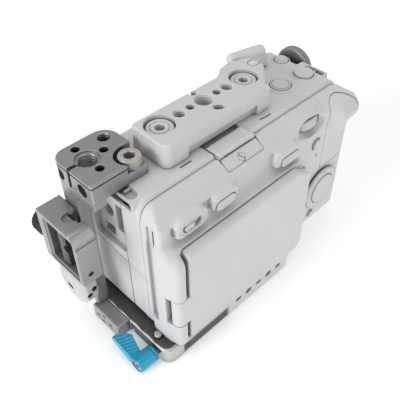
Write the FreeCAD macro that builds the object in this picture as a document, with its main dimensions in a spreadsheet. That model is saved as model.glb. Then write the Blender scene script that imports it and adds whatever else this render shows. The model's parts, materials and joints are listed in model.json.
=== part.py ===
import FreeCAD, Part
import os
import math
import Sketcher

V = FreeCAD.Vector
doc = FreeCAD.newDocument("camera_rig")

# ---------------------------------------------------------------- driving sizes
# +X operator's right, +Y towards the lens, +Z up.  The origin is the mouth of
# the tripod thread under the base plate, straight below the top plate's
# central thread.
SIZES = [
    ("body_left", -66.0), ("body_right", 86.0), ("body_front", 24.0),
    ("body_split", -24.5), ("body_rear", -41.0), ("body_bottom", 11.0),
    ("body_top", 100.0), ("wall", 3.0), ("lens_height", 53.0),
    ("grip_left", 50.0), ("grip_front", 46.0), ("grip_top", 84.0),
    ("throat_radius", 23.0), ("ring_radius", 29.0), ("ring_depth", 3.0),
    ("bar_left", -40.6), ("bar_top", 114.0), ("bar_bottom", 100.0),
    ("bar_rear", -16.0), ("bar_front", 10.5), ("pin_pitch", 9.5),
    ("pin_radius", 2.25), ("big_thread", 4.85), ("quarter_thread", 3.15),
    ("quarter_offset", 17.0), ("bar_screw", 30.07), ("bar_screw_bore", 8.1),
    ("bar_screw_depth", 5.4),
    ("base_left", -74.0), ("base_right", 46.0), ("base_rear", -47.0),
    ("base_front", 20.0), ("base_floor", 5.0), ("base_top", 11.0),
    ("tripod_radius", 3.15), ("tripod_length", 10.9),
    ("block_left", -79.5), ("block_right", -46.0), ("block_rear", -10.2),
    ("block_front", 21.5), ("block_bottom", 100.0), ("block_top", 111.0),
    ("block_hole_x", -68.4), ("block_hole_y", 7.0),
    ("plate_thick", 7.2), ("plate_rear", 5.0), ("plate_front", 16.0),
    ("clamp_left", -93.6), ("clamp_rear", -10.5), ("clamp_front", 20.7),
    ("clamp_low", 54.0), ("clamp_high", 87.0), ("clamp_wall", 3.2),
    ("knob_radius", 8.0), ("knob_height", 8.0), ("clamp_screw_radius", 2.0),
    ("lobe_radius", 13.0), ("lobe_y", 14.0), ("lobe_z", 29.0),
    ("lever_hub", 4.4), ("lever_y", -37.0), ("lever_z", 4.6),
    ("lcd_left", -57.5), ("lcd_right", 35.5), ("lcd_low", 12.0),
    ("lcd_high", 77.5), ("lcd_front", -42.3), ("lcd_rear", -48.0),
    ("hinge_x", -62.0), ("hinge_y", -44.5), ("hinge_radius", 4.0),
    ("knuckle_low", 28.0), ("knuckle_high", 48.0), ("hinge_pin", 1.5),
    ("dial_x", 63.0), ("dial_z", 37.5), ("dial_radius", 15.0),
    ("dial_bore", 8.4), ("dial_button", 8.1), ("wheel_x", 47.5),
    ("wheel_y", -25.2), ("wheel_z", 92.0), ("wheel_radius", 11.0),
    ("wheel_width", 5.0), ("record_x", 54.9), ("record_y", -6.6),
    ("record_radius", 6.2), ("shutter_x", 73.3), ("shutter_y", -8.9),
    ("shutter_radius", 5.6), ("small_x", 76.8), ("small_y", 10.9),
    ("small_radius", 4.3), ("side_knob_x", 86.8), ("side_knob_y", 10.0),
    ("side_knob_z", 91.5), ("side_knob_radius", 12.5),
    ("side_knob_width", 5.6), ("fan_radius", 15.0),
]


class Size:
    """A number that also remembers the sheet expression it comes from."""

    def __init__(self, value, text):
        self.value = value
        self.text = text

    def _mix(self, other, sign, swap=False):
        ov = other.value if isinstance(other, Size) else float(other)
        ot = other.text if isinstance(other, Size) else repr(float(other))
        a, b = (ov, self.value) if swap else (self.value, ov)
        ta, tb = (ot, self.text) if swap else (self.text, ot)
        if sign == "+":
            val = a + b
        elif sign == "-":
            val = a - b
        elif sign == "*":
            val = a * b
        else:
            val = a / b
        return Size(val, "((%s) %s (%s))" % (ta, sign, tb))

    def __add__(self, o):
        return self._mix(o, "+")

    def __radd__(self, o):
        return self._mix(o, "+", True)

    def __sub__(self, o):
        return self._mix(o, "-")

    def __rsub__(self, o):
        return self._mix(o, "-", True)

    def __mul__(self, o):
        return self._mix(o, "*")

    def __rmul__(self, o):
        return self._mix(o, "*", True)

    def __truediv__(self, o):
        return self._mix(o, "/")

    def __neg__(self):
        return Size(-self.value, "(0 - (%s))" % self.text)


def num(x):
    return x.value if isinstance(x, Size) else float(x)


sheet = doc.addObject("Spreadsheet::Sheet", "dims")
S = {}
for row, (alias, value) in enumerate(SIZES, 1):
    sheet.set("A%d" % row, alias)
    sheet.set("B%d" % row, "%g" % value)
    sheet.setAlias("B%d" % row, alias)
    S[alias] = Size(value, "dims.%s" % alias)
doc.recompute()

nodes = []
serial = [0]


def tag(stem):
    serial[0] += 1
    return "%s_%03d" % (stem, serial[0])


def bind(obj, prop, x):
    if isinstance(x, Size):
        obj.setExpression(prop, x.text)


def place(obj, p):
    obj.Placement = FreeCAD.Placement(V(num(p[0]), num(p[1]), num(p[2])),
                                      obj.Placement.Rotation)
    for axis, x in zip("xyz", p):
        bind(obj, "Placement.Base.%s" % axis, x)


def publish(obj, name):
    obj.Label = name
    nodes.append((name, obj))
    return obj


# ---------------------------------------------------------------- sketched bodies
PLANES = {"z": "XY_Plane", "y": "XZ_Plane", "x": "YZ_Plane"}


def new_body(name):
    b = doc.addObject("PartDesign::Body", tag(name))
    publish(b, name)
    return b


def sketch_on(b, axis, level):
    sk = b.newObject("Sketcher::SketchObject", tag("sk"))
    plane = [f for f in b.Origin.OriginFeatures if f.Role == PLANES[axis]][0]
    sk.AttachmentSupport = [(plane, "")]
    sk.MapMode = "FlatFace"
    off = -level if axis == "y" else level
    sk.AttachmentOffset = FreeCAD.Placement(V(0, 0, num(off)),
                                            FreeCAD.Rotation(0, 0, 0, 1))
    bind(sk, "AttachmentOffset.Base.z", off)
    return sk


def pin_point(sk, geo, pos, x, y):
    for kind, value, ref in (("DistanceX", x, -2), ("DistanceY", y, -1)):
        if isinstance(value, Size) or abs(num(value)) > 1e-6:
            c = sk.addConstraint(Sketcher.Constraint(kind, -1, 1, geo, pos,
                                                     num(value)))
            if isinstance(value, Size):
                sk.setExpression("Constraints[%d]" % c, value.text)
        else:
            sk.addConstraint(Sketcher.Constraint("PointOnObject", geo, pos, ref))


def draw(sk, profiles):
    for prof in profiles:
        kind = prof[0]
        if kind == "circle":
            _, cx, cy, r = prof
            g = sk.addGeometry(Part.Circle(V(num(cx), num(cy), 0),
                                           V(0, 0, 1), num(r)), False)
            pin_point(sk, g, 3, cx, cy)
            c = sk.addConstraint(Sketcher.Constraint("Radius", g, num(r)))
            if isinstance(r, Size):
                sk.setExpression("Constraints[%d]" % c, r.text)
        elif kind == "rounded":
            _, a, b_, c_, d, rr = prof
            first = sk.GeometryCount
            cs = [(a, b_, 1, 1), (c_, b_, -1, 1), (c_, d, -1, -1), (a, d, 1, -1)]
            ends = []
            for i, (cx, cy, sx, sy) in enumerate(cs):
                r = rr[i]
                centre = (cx + sx * r, cy + sy * r)
                start = math.pi + i * math.pi / 2
                sk.addGeometry(Part.ArcOfCircle(
                    Part.Circle(V(num(centre[0]), num(centre[1]), 0), V(0, 0, 1), r),
                    start, start + math.pi / 2), False)
                ends.append((centre, r, start))
            for i in range(4):
                (c0, r0, s0), (c1, r1, s1) = ends[i], ends[(i + 1) % 4]
                sk.addGeometry(Part.LineSegment(
                    V(num(c0[0]) + r0 * math.cos(s0 + math.pi / 2),
                      num(c0[1]) + r0 * math.sin(s0 + math.pi / 2), 0),
                    V(num(c1[0]) + r1 * math.cos(s1),
                      num(c1[1]) + r1 * math.sin(s1), 0)), False)
            for i in range(4):
                sk.addConstraint(Sketcher.Constraint(
                    "Tangent", first + i, 2, first + 4 + i, 1))
                sk.addConstraint(Sketcher.Constraint(
                    "Tangent", first + 4 + i, 2, first + (i + 1) % 4, 1))
                sk.addConstraint(Sketcher.Constraint("Radius", first + i, rr[i]))
                pin_point(sk, first + i, 3, ends[i][0][0], ends[i][0][1])
        else:
            if kind == "rect":
                _, a, b_, c_, d = prof
                pts = [(a, b_), (c_, b_), (c_, d), (a, d)]
            else:
                pts = prof[1]
            first = sk.GeometryCount
            n = len(pts)
            for i in range(n):
                p, q = pts[i], pts[(i + 1) % n]
                sk.addGeometry(Part.LineSegment(V(num(p[0]), num(p[1]), 0),
                                                V(num(q[0]), num(q[1]), 0)), False)
            for i in range(n):
                sk.addConstraint(Sketcher.Constraint(
                    "Coincident", first + i, 2, first + (i + 1) % n, 1))
            for i in range(n):
                pin_point(sk, first + i, 1, pts[i][0], pts[i][1])


def rect(a, b, c, d):
    return ("rect", a, b, c, d)


def circle(a, b, r):
    return ("circle", a, b, r)


def poly(pts):
    return ("poly", pts)


def rounded(a, b, c, d, radii):
    """Rectangle a,b to c,d with corner radii, anticlockwise from (a, b)."""
    return ("rounded", a, b, c, d, radii)


def pad(b, axis, lo, hi, *profiles):
    sk = sketch_on(b, axis, hi if axis == "y" else lo)
    draw(sk, profiles)
    f = b.newObject("PartDesign::Pad", tag("pad"))
    f.Profile = sk
    f.Length = num(hi) - num(lo)
    d = (hi - lo) if (isinstance(hi, Size) or isinstance(lo, Size)) else None
    if d is not None:
        bind(f, "Length", d)
    doc.recompute()
    return f


def cut(b, axis, lo, hi, *profiles):
    before = b.Shape.Volume
    sk = sketch_on(b, axis, lo if axis == "y" else hi)
    draw(sk, profiles)
    f = b.newObject("PartDesign::Pocket", tag("cut"))
    f.Profile = sk
    f.Length = num(hi) - num(lo)
    d = (hi - lo) if (isinstance(hi, Size) or isinstance(lo, Size)) else None
    if d is not None:
        bind(f, "Length", d)
    doc.recompute()
    if not b.Shape.Volume < before - 1e-3:
        raise RuntimeError("a pocket in %s cuts nothing: %s" % (b.Label, profiles))
    return f


def edges_of(shape, test):
    out = []
    for i, e in enumerate(shape.Edges, 1):
        try:
            if test(e):
                out.append("Edge%d" % i)
        except Exception:
            pass
    return out


def along(axis, **box):
    """Straight edges parallel to axis whose middle lies in the given ranges."""
    k = "xyz".index(axis)

    def test(e):
        if e.Curve.TypeId != "Part::GeomLine":
            return False
        d = e.Vertexes[-1].Point - e.Vertexes[0].Point
        c = (e.Vertexes[-1].Point + e.Vertexes[0].Point) * 0.5
        t = [abs(d.x), abs(d.y), abs(d.z)]
        if sum(t) - t[k] > 1e-4 or t[k] < 1e-3:
            return False
        m = {"x": c.x, "y": c.y, "z": c.z}
        return all(lo - 0.01 <= m[a] <= hi + 0.01 for a, (lo, hi) in box.items())
    return test


def flat_at(axis, level, **box):
    """Edges lying wholly in the plane axis = level."""
    def test(e):
        bb = e.BoundBox
        lo = getattr(bb, axis.upper() + "Min")
        hi = getattr(bb, axis.upper() + "Max")
        if abs(lo - level) > 0.02 or abs(hi - level) > 0.02:
            return False
        c = bb.Center
        m = {"x": c.x, "y": c.y, "z": c.z}
        return all(a0 - 0.01 <= m[a] <= a1 + 0.01 for a, (a0, a1) in box.items())
    return test


def dress(b, kind, size, test, must=True):
    """Round or bevel the chosen edges; edges that the shape can't take stay."""
    base = b.Tip
    names = edges_of(base.Shape, test)
    if not names:
        if must:
            print("no edge to dress in", b.Label)
        return None
    before = base.Shape.Volume
    f = b.newObject("PartDesign::" + kind, tag("dress"))
    f.Base = (base, names)
    if kind == "Fillet":
        f.Radius = num(size)
    else:
        f.Size = num(size)
    doc.recompute()
    bad = ("Invalid" in f.State or "Error" in f.State or f.Shape.isNull()
           or not f.Shape.isValid() or f.Shape.Volume <= 0
           or len(f.Shape.Solids) != len(base.Shape.Solids)
           or abs(f.Shape.Volume - before) > 0.5 * before)
    if bad:
        b.removeObject(f)
        doc.removeObject(f.Name)
        b.Tip = base
        doc.recompute()
        if must:
            print("left sharp:", b.Label, kind, num(size), len(names))
        return None
    return f


# ---------------------------------------------------------------- plain solids
def cyl(axis, a, b, c0, c1, r, name=None):
    """Cylinder along axis from c0 to c1; a, b are the other two coordinates
    in x, y, z order."""
    o = doc.addObject("Part::Cylinder", tag("cyl"))
    o.Radius = num(r)
    o.Height = num(c1) - num(c0)
    bind(o, "Radius", r)
    if isinstance(c0, Size) or isinstance(c1, Size):
        bind(o, "Height", c1 - c0)
    if axis == "z":
        place(o, (a, b, c0))
    elif axis == "x":
        o.Placement = FreeCAD.Placement(V(0, 0, 0), FreeCAD.Rotation(V(0, 1, 0), 90))
        place(o, (c0, a, b))
    else:
        o.Placement = FreeCAD.Placement(V(0, 0, 0), FreeCAD.Rotation(V(1, 0, 0), -90))
        place(o, (a, c0, b))
    if name:
        publish(o, name)
    return o


def box(x0, y0, z0, x1, y1, z1, name=None):
    o = doc.addObject("Part::Box", tag("box"))
    for prop, lo, hi in (("Length", x0, x1), ("Width", y0, y1), ("Height", z0, z1)):
        setattr(o, prop, num(hi) - num(lo))
        if isinstance(lo, Size) or isinstance(hi, Size):
            bind(o, prop, hi - lo)
    place(o, (x0, y0, z0))
    if name:
        publish(o, name)
    return o


def fuse(objs, name=None):
    o = doc.addObject("Part::MultiFuse", tag("fuse"))
    o.Shapes = objs
    if name:
        publish(o, name)
    return o


def minus(base, tool, name=None):
    o = doc.addObject("Part::Cut", tag("minus"))
    o.Base = base
    o.Tool = tool
    if name:
        publish(o, name)
    return o


def group(objs, name):
    """Identical separate solids kept in one node."""
    o = doc.addObject("Part::Compound", tag("group"))
    o.Links = objs
    publish(o, name)
    return o


def round_edges(obj, r, name, test=None):
    doc.recompute()
    base = obj.Shape
    keep = [i for i, e in enumerate(base.Edges, 1) if test is None or test(e)]
    o = doc.addObject("Part::Fillet", tag("round"))
    o.Base = obj
    o.Edges = [(i, r, r) for i in keep]
    doc.recompute()
    if o.Shape.isNull() or not o.Shape.isValid() or "Invalid" in o.State:
        doc.removeObject(o.Name)
        print("left sharp:", name)
        publish(obj, name)
        return obj
    publish(o, name)
    return o


def pill(axis, lo, hi, u0, u1, w0, w1):
    """A bar with full-round ends: u is the long direction, w the short one.
    axis y: u = x, w = z.  axis z: u = x, w = y."""
    r = (num(w1) - num(w0)) / 2.0
    cw = (num(w1) + num(w0)) / 2.0
    if axis == "y":
        a = cyl("y", num(u0) + r, cw, lo, hi, r)
        b = cyl("y", num(u1) - r, cw, lo, hi, r)
        m = box(num(u0) + r, lo, num(cw) - r, num(u1) - r, hi, cw + r)
    else:
        a = cyl("z", num(u0) + r, cw, lo, hi, r)
        b = cyl("z", num(u1) - r, cw, lo, hi, r)
        m = box(num(u0) + r, cw - r, lo, num(u1) - r, cw + r, hi)
    return fuse([a, b, m])


L, R_, F = S["body_left"], S["body_right"], S["body_front"]
SP, RE = S["body_split"], S["body_rear"]
BB, BT, W = S["body_bottom"], S["body_top"], S["wall"]

OUT = (4.0, 5.0, 9.0, 5.0)

# ---------------------------------------------------------------- front shell
b = new_body("front_shell")
pad(b, "y", SP, F, rounded(L, BB, R_, BT, OUT))
dress(b, "Fillet", 7.0, along("z", y=(23, 25)))
dress(b, "Fillet", 2.0, flat_at("y", 24.0), must=False)
cut(b, "y", SP, F - W, rect(L + 7, BB + W, R_ - W, BT - W))
cut(b, "y", F - W - 0.1, F + 0.1, circle(0, S["lens_height"], S["throat_radius"]))
# socket bay on the left side
cut(b, "x", L - 0.1, L + W, rect(-10.0, 56.0, 15.0, 94.0))
cut(b, "x", L + W - 0.1, L + 7.1, circle(5.0, 76.0, 4.0),
    rect(-8.2, 66.0, -1.4, 84.0), rect(1.6, 58.5, 10.2, 65.0))
# seams down the left side
cut(b, "x", L - 0.1, L + 0.5, rect(-11.0, 11.2, -10.5, 55.0))
# raised rings and holes for the top buttons
pad(b, "z", BT - 0.5, BT + 0.9, circle(S["record_x"], S["record_y"], 8.2))
pad(b, "z", BT - 0.5, BT + 0.9, circle(S["shutter_x"], S["shutter_y"], 7.2))
cut(b, "z", BT - W - 0.1, BT + 1.0,
    circle(S["record_x"], S["record_y"], S["record_radius"] + 0.3),
    circle(S["shutter_x"], S["shutter_y"], S["shutter_radius"] + 0.3),
    circle(S["small_x"], S["small_y"], S["small_radius"] + 0.3))
# seats of the strap lugs and the shoe
cut(b, "z", BT - 2.0, BT + 0.1, rect(-16.4, -24.7, 10.4, -17.0))
cut(b, "z", BT - 2.4, BT + 0.1, rect(-63.5, -17.0, -57.5, -6.0))
cut(b, "z", BT - 2.4, BT + 0.1, rect(80.5, -17.0, 84.0, -3.0))
cut(b, "z", BT - W - 0.1, BT + 0.1, circle(S["bar_screw"], 0, 3.0),
    circle(-S["bar_screw"], 0, 3.0), circle(-52.8, -4.1, 3.0))
cut(b, "z", BB - 0.1, BB + W + 0.1, circle(20.0, 0, 3.0))
cut(b, "y", F - W - 0.1, F + 0.1, circle(-36.0, 44.0, 4.3))
# grip opening and stud hole
cut(b, "y", F - W - 0.1, F + 0.1, rect(54.0, 16.0, 81.0, 78.0))
cut(b, "x", R_ - W - 0.1, R_ + 0.1, circle(S["side_knob_y"], S["side_knob_z"], 2.6),
    rect(-20.0, 30.0, 10.0, 76.0))
front_shell = b

# ---------------------------------------------------------------- rear shell
b = new_body("rear_shell")
pad(b, "x", L, R_, poly([(SP, BB), (SP, BT), (SP - 0.6, BT), (-34.5, 94.4),
                         (-36.6, 92.4), (-38.0, 90.0), (-38.0, 79.0),
                         (RE, 77.8), (RE, BB)]))
pad(b, "z", BB, 92.0, rect(L, S["hinge_y"], -58.0, RE + 1))
pad(b, "z", BB, 92.0, circle(S["hinge_x"], S["hinge_y"], S["hinge_radius"]))
# corners rounded to the same outline as the front shell
cut(b, "y", -60.0, SP + 0.1, rect(L - 5, BB - 5, R_ + 5, BT + 5),
    rounded(L, BB, R_, BT, OUT))
# shallower face beside the screen
cut(b, "y", RE - 0.1, -38.0, rect(37.0, BB - 0.1, R_ + 0.1, 79.1))
# cavity
cut(b, "y", -35.0, SP, rect(L + 7, BB + W, R_ - W, 91.5))
# notch for the screen's hinge knuckle
cut(b, "z", S["knuckle_low"] - 0.4, S["knuckle_high"] + 0.4,
    rect(L - 0.1, -50.0, -57.9, -39.8))
cut(b, "z", BB + 4.0, 60.0, circle(S["hinge_x"], S["hinge_y"], S["hinge_pin"]))
# shoe seat, thumb wheel slot, dial and button holes
cut(b, "z", BT - 2.0, BT + 0.1, rect(-16.4, -27.4, 10.4, -24.4))
cut(b, "z", 89.2, 94.8, circle(S["wheel_x"], S["wheel_y"], S["wheel_radius"] + 0.6))
cut(b, "y", -38.1, -34.9, circle(S["dial_x"], S["dial_z"], 10.5),
    rect(-33.4, 82.8, -15.9, 89.2), rect(16.6, 81.3, 31.7, 87.7),
    circle(52.0, 77.0, 3.6), circle(43.5, 33.0, 2.6), circle(58.0, 17.5, 2.6))
# two upright cooling slots in the left side
cut(b, "x", L - 0.1, L + 7.1, rect(-33.2, 24.0, -31.6, 92.0),
    rect(-29.6, 24.0, -28.0, 92.0))
dress(b, "Fillet", 5.0, along("z", x=(85.9, 86.1), y=(-39, -37)), must=False)
rear_shell = b

# ---------------------------------------------------------------- grip
b = new_body("grip_shell")
pad(b, "z", BB, S["grip_top"], rect(S["grip_left"], F, R_, S["grip_front"]))
dress(b, "Fillet", 12.0, along("z", y=(45, 47)))
dress(b, "Fillet", 6.0, flat_at("z", 84.0, y=(24.5, 50)), must=False)
cut(b, "z", BB, 80.0, poly([(54.0, F), (82.0, F), (82.0, 36.0), (77.0, 42.0),
                            (59.0, 42.0), (54.0, 36.0)]))
grip = b

# thumb rest pad on the right shoulder
b = new_body("thumb_rest")
pad(b, "x", 62.0, 85.0, poly([(-38.0, 62.0), (-38.0, 90.2), (-36.7, 92.6),
                              (-36.0, 94.2), (-41.0, 92.6), (-44.0, 88.0),
                              (-43.0, 82.5), (-39.4, 76.0), (-38.8, 62.0)]))
dress(b, "Fillet", 3.0, along("x", y=(-45, -42), z=(81, 94)), must=False)

# ---------------------------------------------------------------- shoe
b = new_body("accessory_shoe")
pad(b, "z", BT - 2.0, BT - 0.6, rect(-16.0, -27.0, 10.0, -17.4))
shoe = b
b = new_body("shoe_cover")
pad(b, "z", BT - 0.4, BT + 1.3, rect(-15.2, -26.4, 9.2, -17.6))
dress(b, "Chamfer", 0.5, flat_at("z", 101.3))

# ---------------------------------------------------------------- lens mount
ring = minus(cyl("y", 0, S["lens_height"], F, F + S["ring_depth"], S["ring_radius"]),
             cyl("y", 0, S["lens_height"], F - 1, F + S["ring_depth"] + 1,
                 S["throat_radius"]), None)
holes = []
for k in range(4):
    a = math.radians(45 + 90 * k)
    holes.append(cyl("y", 26.2 * math.cos(a), 53.0 + 26.2 * math.sin(a),
                     F - 1, F + S["ring_depth"] + 1, 1.0))
minus(ring, fuse(holes), "lens_mount_ring")
screws = []
for k in range(4):
    a = math.radians(45 + 90 * k)
    screws.append(cyl("y", 26.2 * math.cos(a), 53.0 + 26.2 * math.sin(a),
                      F, F + S["ring_depth"] - 0.1, 1.0))
group(screws, "mount_screws")
cyl("y", -36.0, 44.0, F - 4.0, F + 4.0, 4.0, "lens_release_button")

# ---------------------------------------------------------------- inside
box(-26.0, 0.0, 34.0, 26.0, 6.0, 72.0, "sensor_module")
box(-18.5, 6.0, 40.5, 18.5, 7.2, 65.5, "sensor_glass")
box(-50.0, -20.0, 20.0, 44.0, -18.2, 87.5, "main_board")
b = new_body("heat_sink")
pad(b, "y", -18.2, -13.0, rect(-24.0, 34.0, 24.0, 72.0))
cut(b, "y", -16.0, -13.0, *[rect(-21.0 + 6 * k, 33.0, -18.0 + 6 * k, 73.0)
                            for k in range(7)])
fan = minus(box(-50.0, -32.5, 30.0, -16.0, -24.8, 64.0),
            cyl("y", -33.0, 47.0, -31.0, -24.0, S["fan_radius"] + 0.8), "fan_frame")
hub = cyl("y", -33.0, 47.0, -30.4, -25.4, 5.0)
blades = [hub]
for k in range(7):
    bl = box(4.5, -29.8, -0.6, 14.6, -25.8, 0.6)
    c = doc.addObject("Part::Feature", tag("blade"))
    doc.recompute()
    sh = bl.Shape.copy()
    sh.rotate(V(0, 0, 0), V(0, 1, 0), 360.0 * k / 7)
    sh.translate(V(-33.0, 0, 47.0))
    c.Shape = sh
    blades.append(c)
fuse(blades, "cooling_fan")
box(56.0, 25.0, 17.0, 80.0, 35.0, 60.0, "battery")
box(R_ - 33.0, -19.0, 40.0, R_ - 8.0, -15.0, 66.0, "memory_card")
box(L + 7.4, -9.0, 57.5, L + 12.0, 11.5, 85.0, "socket_block")

# battery door under the grip, hinged at its front edge
door = box(55.0, F + 1.0, 8.1, 81.0, 41.0, 10.7)
knuckle = cyl("x", 41.0, 9.4, 58.0, 78.0, 1.3)
fuse([door, knuckle], "battery_door")
b = new_body("card_door")
pad(b, "x", R_ + 0.4, R_ + 2.4, rect(-19.6, 30.5, 9.6, 75.5))
dress(b, "Fillet", 1.0, flat_at("x", 88.4), must=False)
pad(b, "z", 34.0, 72.0, circle(R_ + 1.6, 9.9, 1.1))

# ---------------------------------------------------------------- flip-out screen
b = new_body("lcd_panel")
pad(b, "y", S["lcd_rear"], S["lcd_front"],
    rect(S["lcd_left"], S["lcd_low"], S["lcd_right"], S["lcd_high"]))
dress(b, "Fillet", 7.0, along("y", x=(35, 36), z=(11, 13)))
dress(b, "Fillet", 2.0, along("y", z=(77, 78)))
dress(b, "Fillet", 1.2, flat_at("y", -48.0), must=False)
cut(b, "y", -43.3, S["lcd_front"] + 0.1, rect(-51.0, 18.0, 29.0, 71.5))
pad(b, "z", S["knuckle_low"], S["knuckle_high"],
    rect(S["hinge_x"], -48.0, S["lcd_left"] + 1.0, -42.4))
pad(b, "z", S["knuckle_low"], S["knuckle_high"],
    circle(S["hinge_x"], S["hinge_y"], S["hinge_radius"]))
cut(b, "z", S["knuckle_low"] - 0.1, S["knuckle_high"] + 0.1,
    circle(S["hinge_x"], S["hinge_y"], S["hinge_pin"] + 0.05))
box(-50.8, -43.3, 18.2, 28.8, -42.5, 71.3, "lcd_glass")
cyl("z", S["hinge_x"], S["hinge_y"], BB + 4.0, 60.0, S["hinge_pin"], "hinge_pin")

# ---------------------------------------------------------------- rear controls
hs = pill("y", -40.6, -38.0, -58.0, -37.0, 83.4, 90.6)
minus(hs, box(-53.5, -41.0, 84.9, -41.5, -39.2, 89.1), "switch_housing")
box(-53.2, -41.4, 85.2, -47.4, -39.4, 88.8, "mode_switch")
for nm, x0, x1, z0, z1 in (("rear_button_a", -33.0, -16.3, 83.1, 88.9),
                           ("rear_button_b", 17.0, 31.3, 81.6, 87.4)):
    o = pill("y", -40.2, -35.6, x0, x1, z0, z1)
    publish(o, nm)
for nm, x, z, r in (("rear_button_c", 52.0, 77.0, 3.3),
                    ("menu_button", 43.5, 33.0, 2.3),
                    ("play_button", 58.0, 17.5, 2.3)):
    cyl("y", x, z, -39.4, -35.4, r, nm)
dial = minus(fuse([cyl("y", S["dial_x"], S["dial_z"], -41.4, -38.3, S["dial_radius"]),
                   cyl("y", S["dial_x"], S["dial_z"], -38.4, -35.4, 10.2)]),
             cyl("y", S["dial_x"], S["dial_z"], -42.0, -35.0, S["dial_bore"]),
             "rear_dial")
cyl("y", S["dial_x"], S["dial_z"], -42.4, -36.0, S["dial_button"] , "dial_button")
whl = cyl("z", S["wheel_x"], S["wheel_y"], S["wheel_z"] - S["wheel_width"] / 2,
          S["wheel_z"] + S["wheel_width"] / 2, S["wheel_radius"])
minus(whl, cyl("z", S["wheel_x"], S["wheel_y"], 88.0, 96.0, 2.05), "thumb_wheel")
cyl("z", S["wheel_x"], S["wheel_y"], 88.4, 95.4, 2.0, "wheel_axle")

# ---------------------------------------------------------------- top controls
cyl("z", S["record_x"], S["record_y"], BT - 2.5, BT + 1.5, S["record_radius"],
    "record_button")
cyl("z", S["shutter_x"], S["shutter_y"], BT - 2.5, BT + 2.6, S["shutter_radius"],
    "shutter_button")
cyl("z", S["small_x"], S["small_y"], BT - 2.5, BT + 2.2, S["small_radius"],
    "small_top_button")
group([box(-63.5, -11.9, 97.6, -57.5, -11.1, 99.4),
       box(80.5, -10.4, 97.6, 84.0, -9.6, 99.4)], "strap_lug_bars")
b = new_body("front_bump")
pad(b, "z", BT, 107.0, poly([(41.0, 17.8), (46.0, 12.5), (68.0, 12.5), (66.5, 18.0),
                             (52.0, 23.6), (44.0, 23.6)]))
# tube-like rib along the ridge
pad(b, "z", 104.0, 113.8, poly([(40.6, 18.0), (64.0, 13.0), (65.6, 19.0), (42.2, 23.9)]))
dress(b, "Fillet", 3.0, flat_at("z", 113.8), must=False)

# ---------------------------------------------------------------- top plate
b = new_body("top_plate")
pad(b, "z", S["bar_bottom"], S["bar_top"],
    poly([(S["bar_left"], S["bar_rear"]), (28.0, S["bar_rear"]), (34.0, -12.0),
          (40.0, -6.6), (45.5, -1.6), (49.6, 4.0), (48.9, 10.2), (44.0, 14.0),
          (36.0, 16.6), (28.0, 15.6), (23.0, S["bar_front"]),
          (S["bar_left"], S["bar_front"])]))
dress(b, "Fillet", 4.0, along("z", x=(-41, -40)))
dress(b, "Fillet", 3.0, along("z", x=(27, 50)), must=False)
# relief under the long sides, leaving a foot at each end
cut(b, "y", S["bar_rear"] - 0.1, -13.4, rect(-26.0, 100.2, 24.0, 106.5))
cut(b, "y", 6.0, S["bar_front"] + 0.1, rect(-26.0, 100.2, 22.0, 106.5))
cut(b, "z", S["bar_bottom"] - 0.1, S["bar_top"] + 0.1,
    circle(0, 0, S["big_thread"]),
    circle(S["quarter_offset"], 0, S["quarter_thread"]),
    circle(-S["quarter_offset"], 0, S["quarter_thread"]))
cut(b, "z", S["bar_top"] - 6.0, S["bar_top"] + 0.1,
    circle(S["pin_pitch"], 0, S["pin_radius"]),
    circle(-S["pin_pitch"], 0, S["pin_radius"]),
    circle(0, -S["pin_pitch"], S["pin_radius"]))
cut(b, "z", S["bar_top"] - 6.0, S["bar_top"] + 0.1,
    circle(0, S["pin_pitch"] - 1.2, S["pin_radius"]))
cut(b, "z", S["bar_bottom"] - 0.1, S["bar_top"] + 0.1,
    circle(S["bar_screw"], 0, 3.1), circle(-S["bar_screw"], 0, 3.1))
cut(b, "z", S["bar_top"] - S["bar_screw_depth"], S["bar_top"] + 0.1,
    circle(S["bar_screw"], 0, S["bar_screw_bore"]),
    circle(-S["bar_screw"], 0, S["bar_screw_bore"]))
dress(b, "Chamfer", 0.8, flat_at("z", 114.0), must=False)
sc = []
for x in (S["bar_screw"], -S["bar_screw"]):
    body_ = fuse([cyl("z", x, 0, S["bar_top"] - S["bar_screw_depth"],
                      S["bar_top"] - 1.8, 7.0),
                  cyl("z", x, 0, S["bar_bottom"] - 2.8, S["bar_top"] - 5.0, 3.0)])
    hexa = doc.addObject("Part::Prism", tag("hex"))
    hexa.Polygon = 6
    hexa.Circumradius = 2.9
    hexa.Height = 4.0
    place(hexa, (x, 0, S["bar_top"] - 4.6))
    sc.append(minus(body_, hexa))
group(sc, "top_plate_screws")

# ---------------------------------------------------------------- accessory block
b = new_body("accessory_block")
BLX, BLY = S["block_hole_x"], S["block_hole_y"]
pad(b, "z", S["block_bottom"], S["block_top"],
    rect(S["block_left"], S["block_rear"], S["block_right"], S["block_front"]))
dress(b, "Fillet", 7.0, along("z", x=(-80, -79), y=(20, 22)), must=False)
dress(b, "Fillet", 1.5, along("z", x=(-80, -79), y=(-11, -10)), must=False)
dress(b, "Fillet", 9.0, along("z", x=(-47, -45), y=(20, 22)), must=False)
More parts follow.
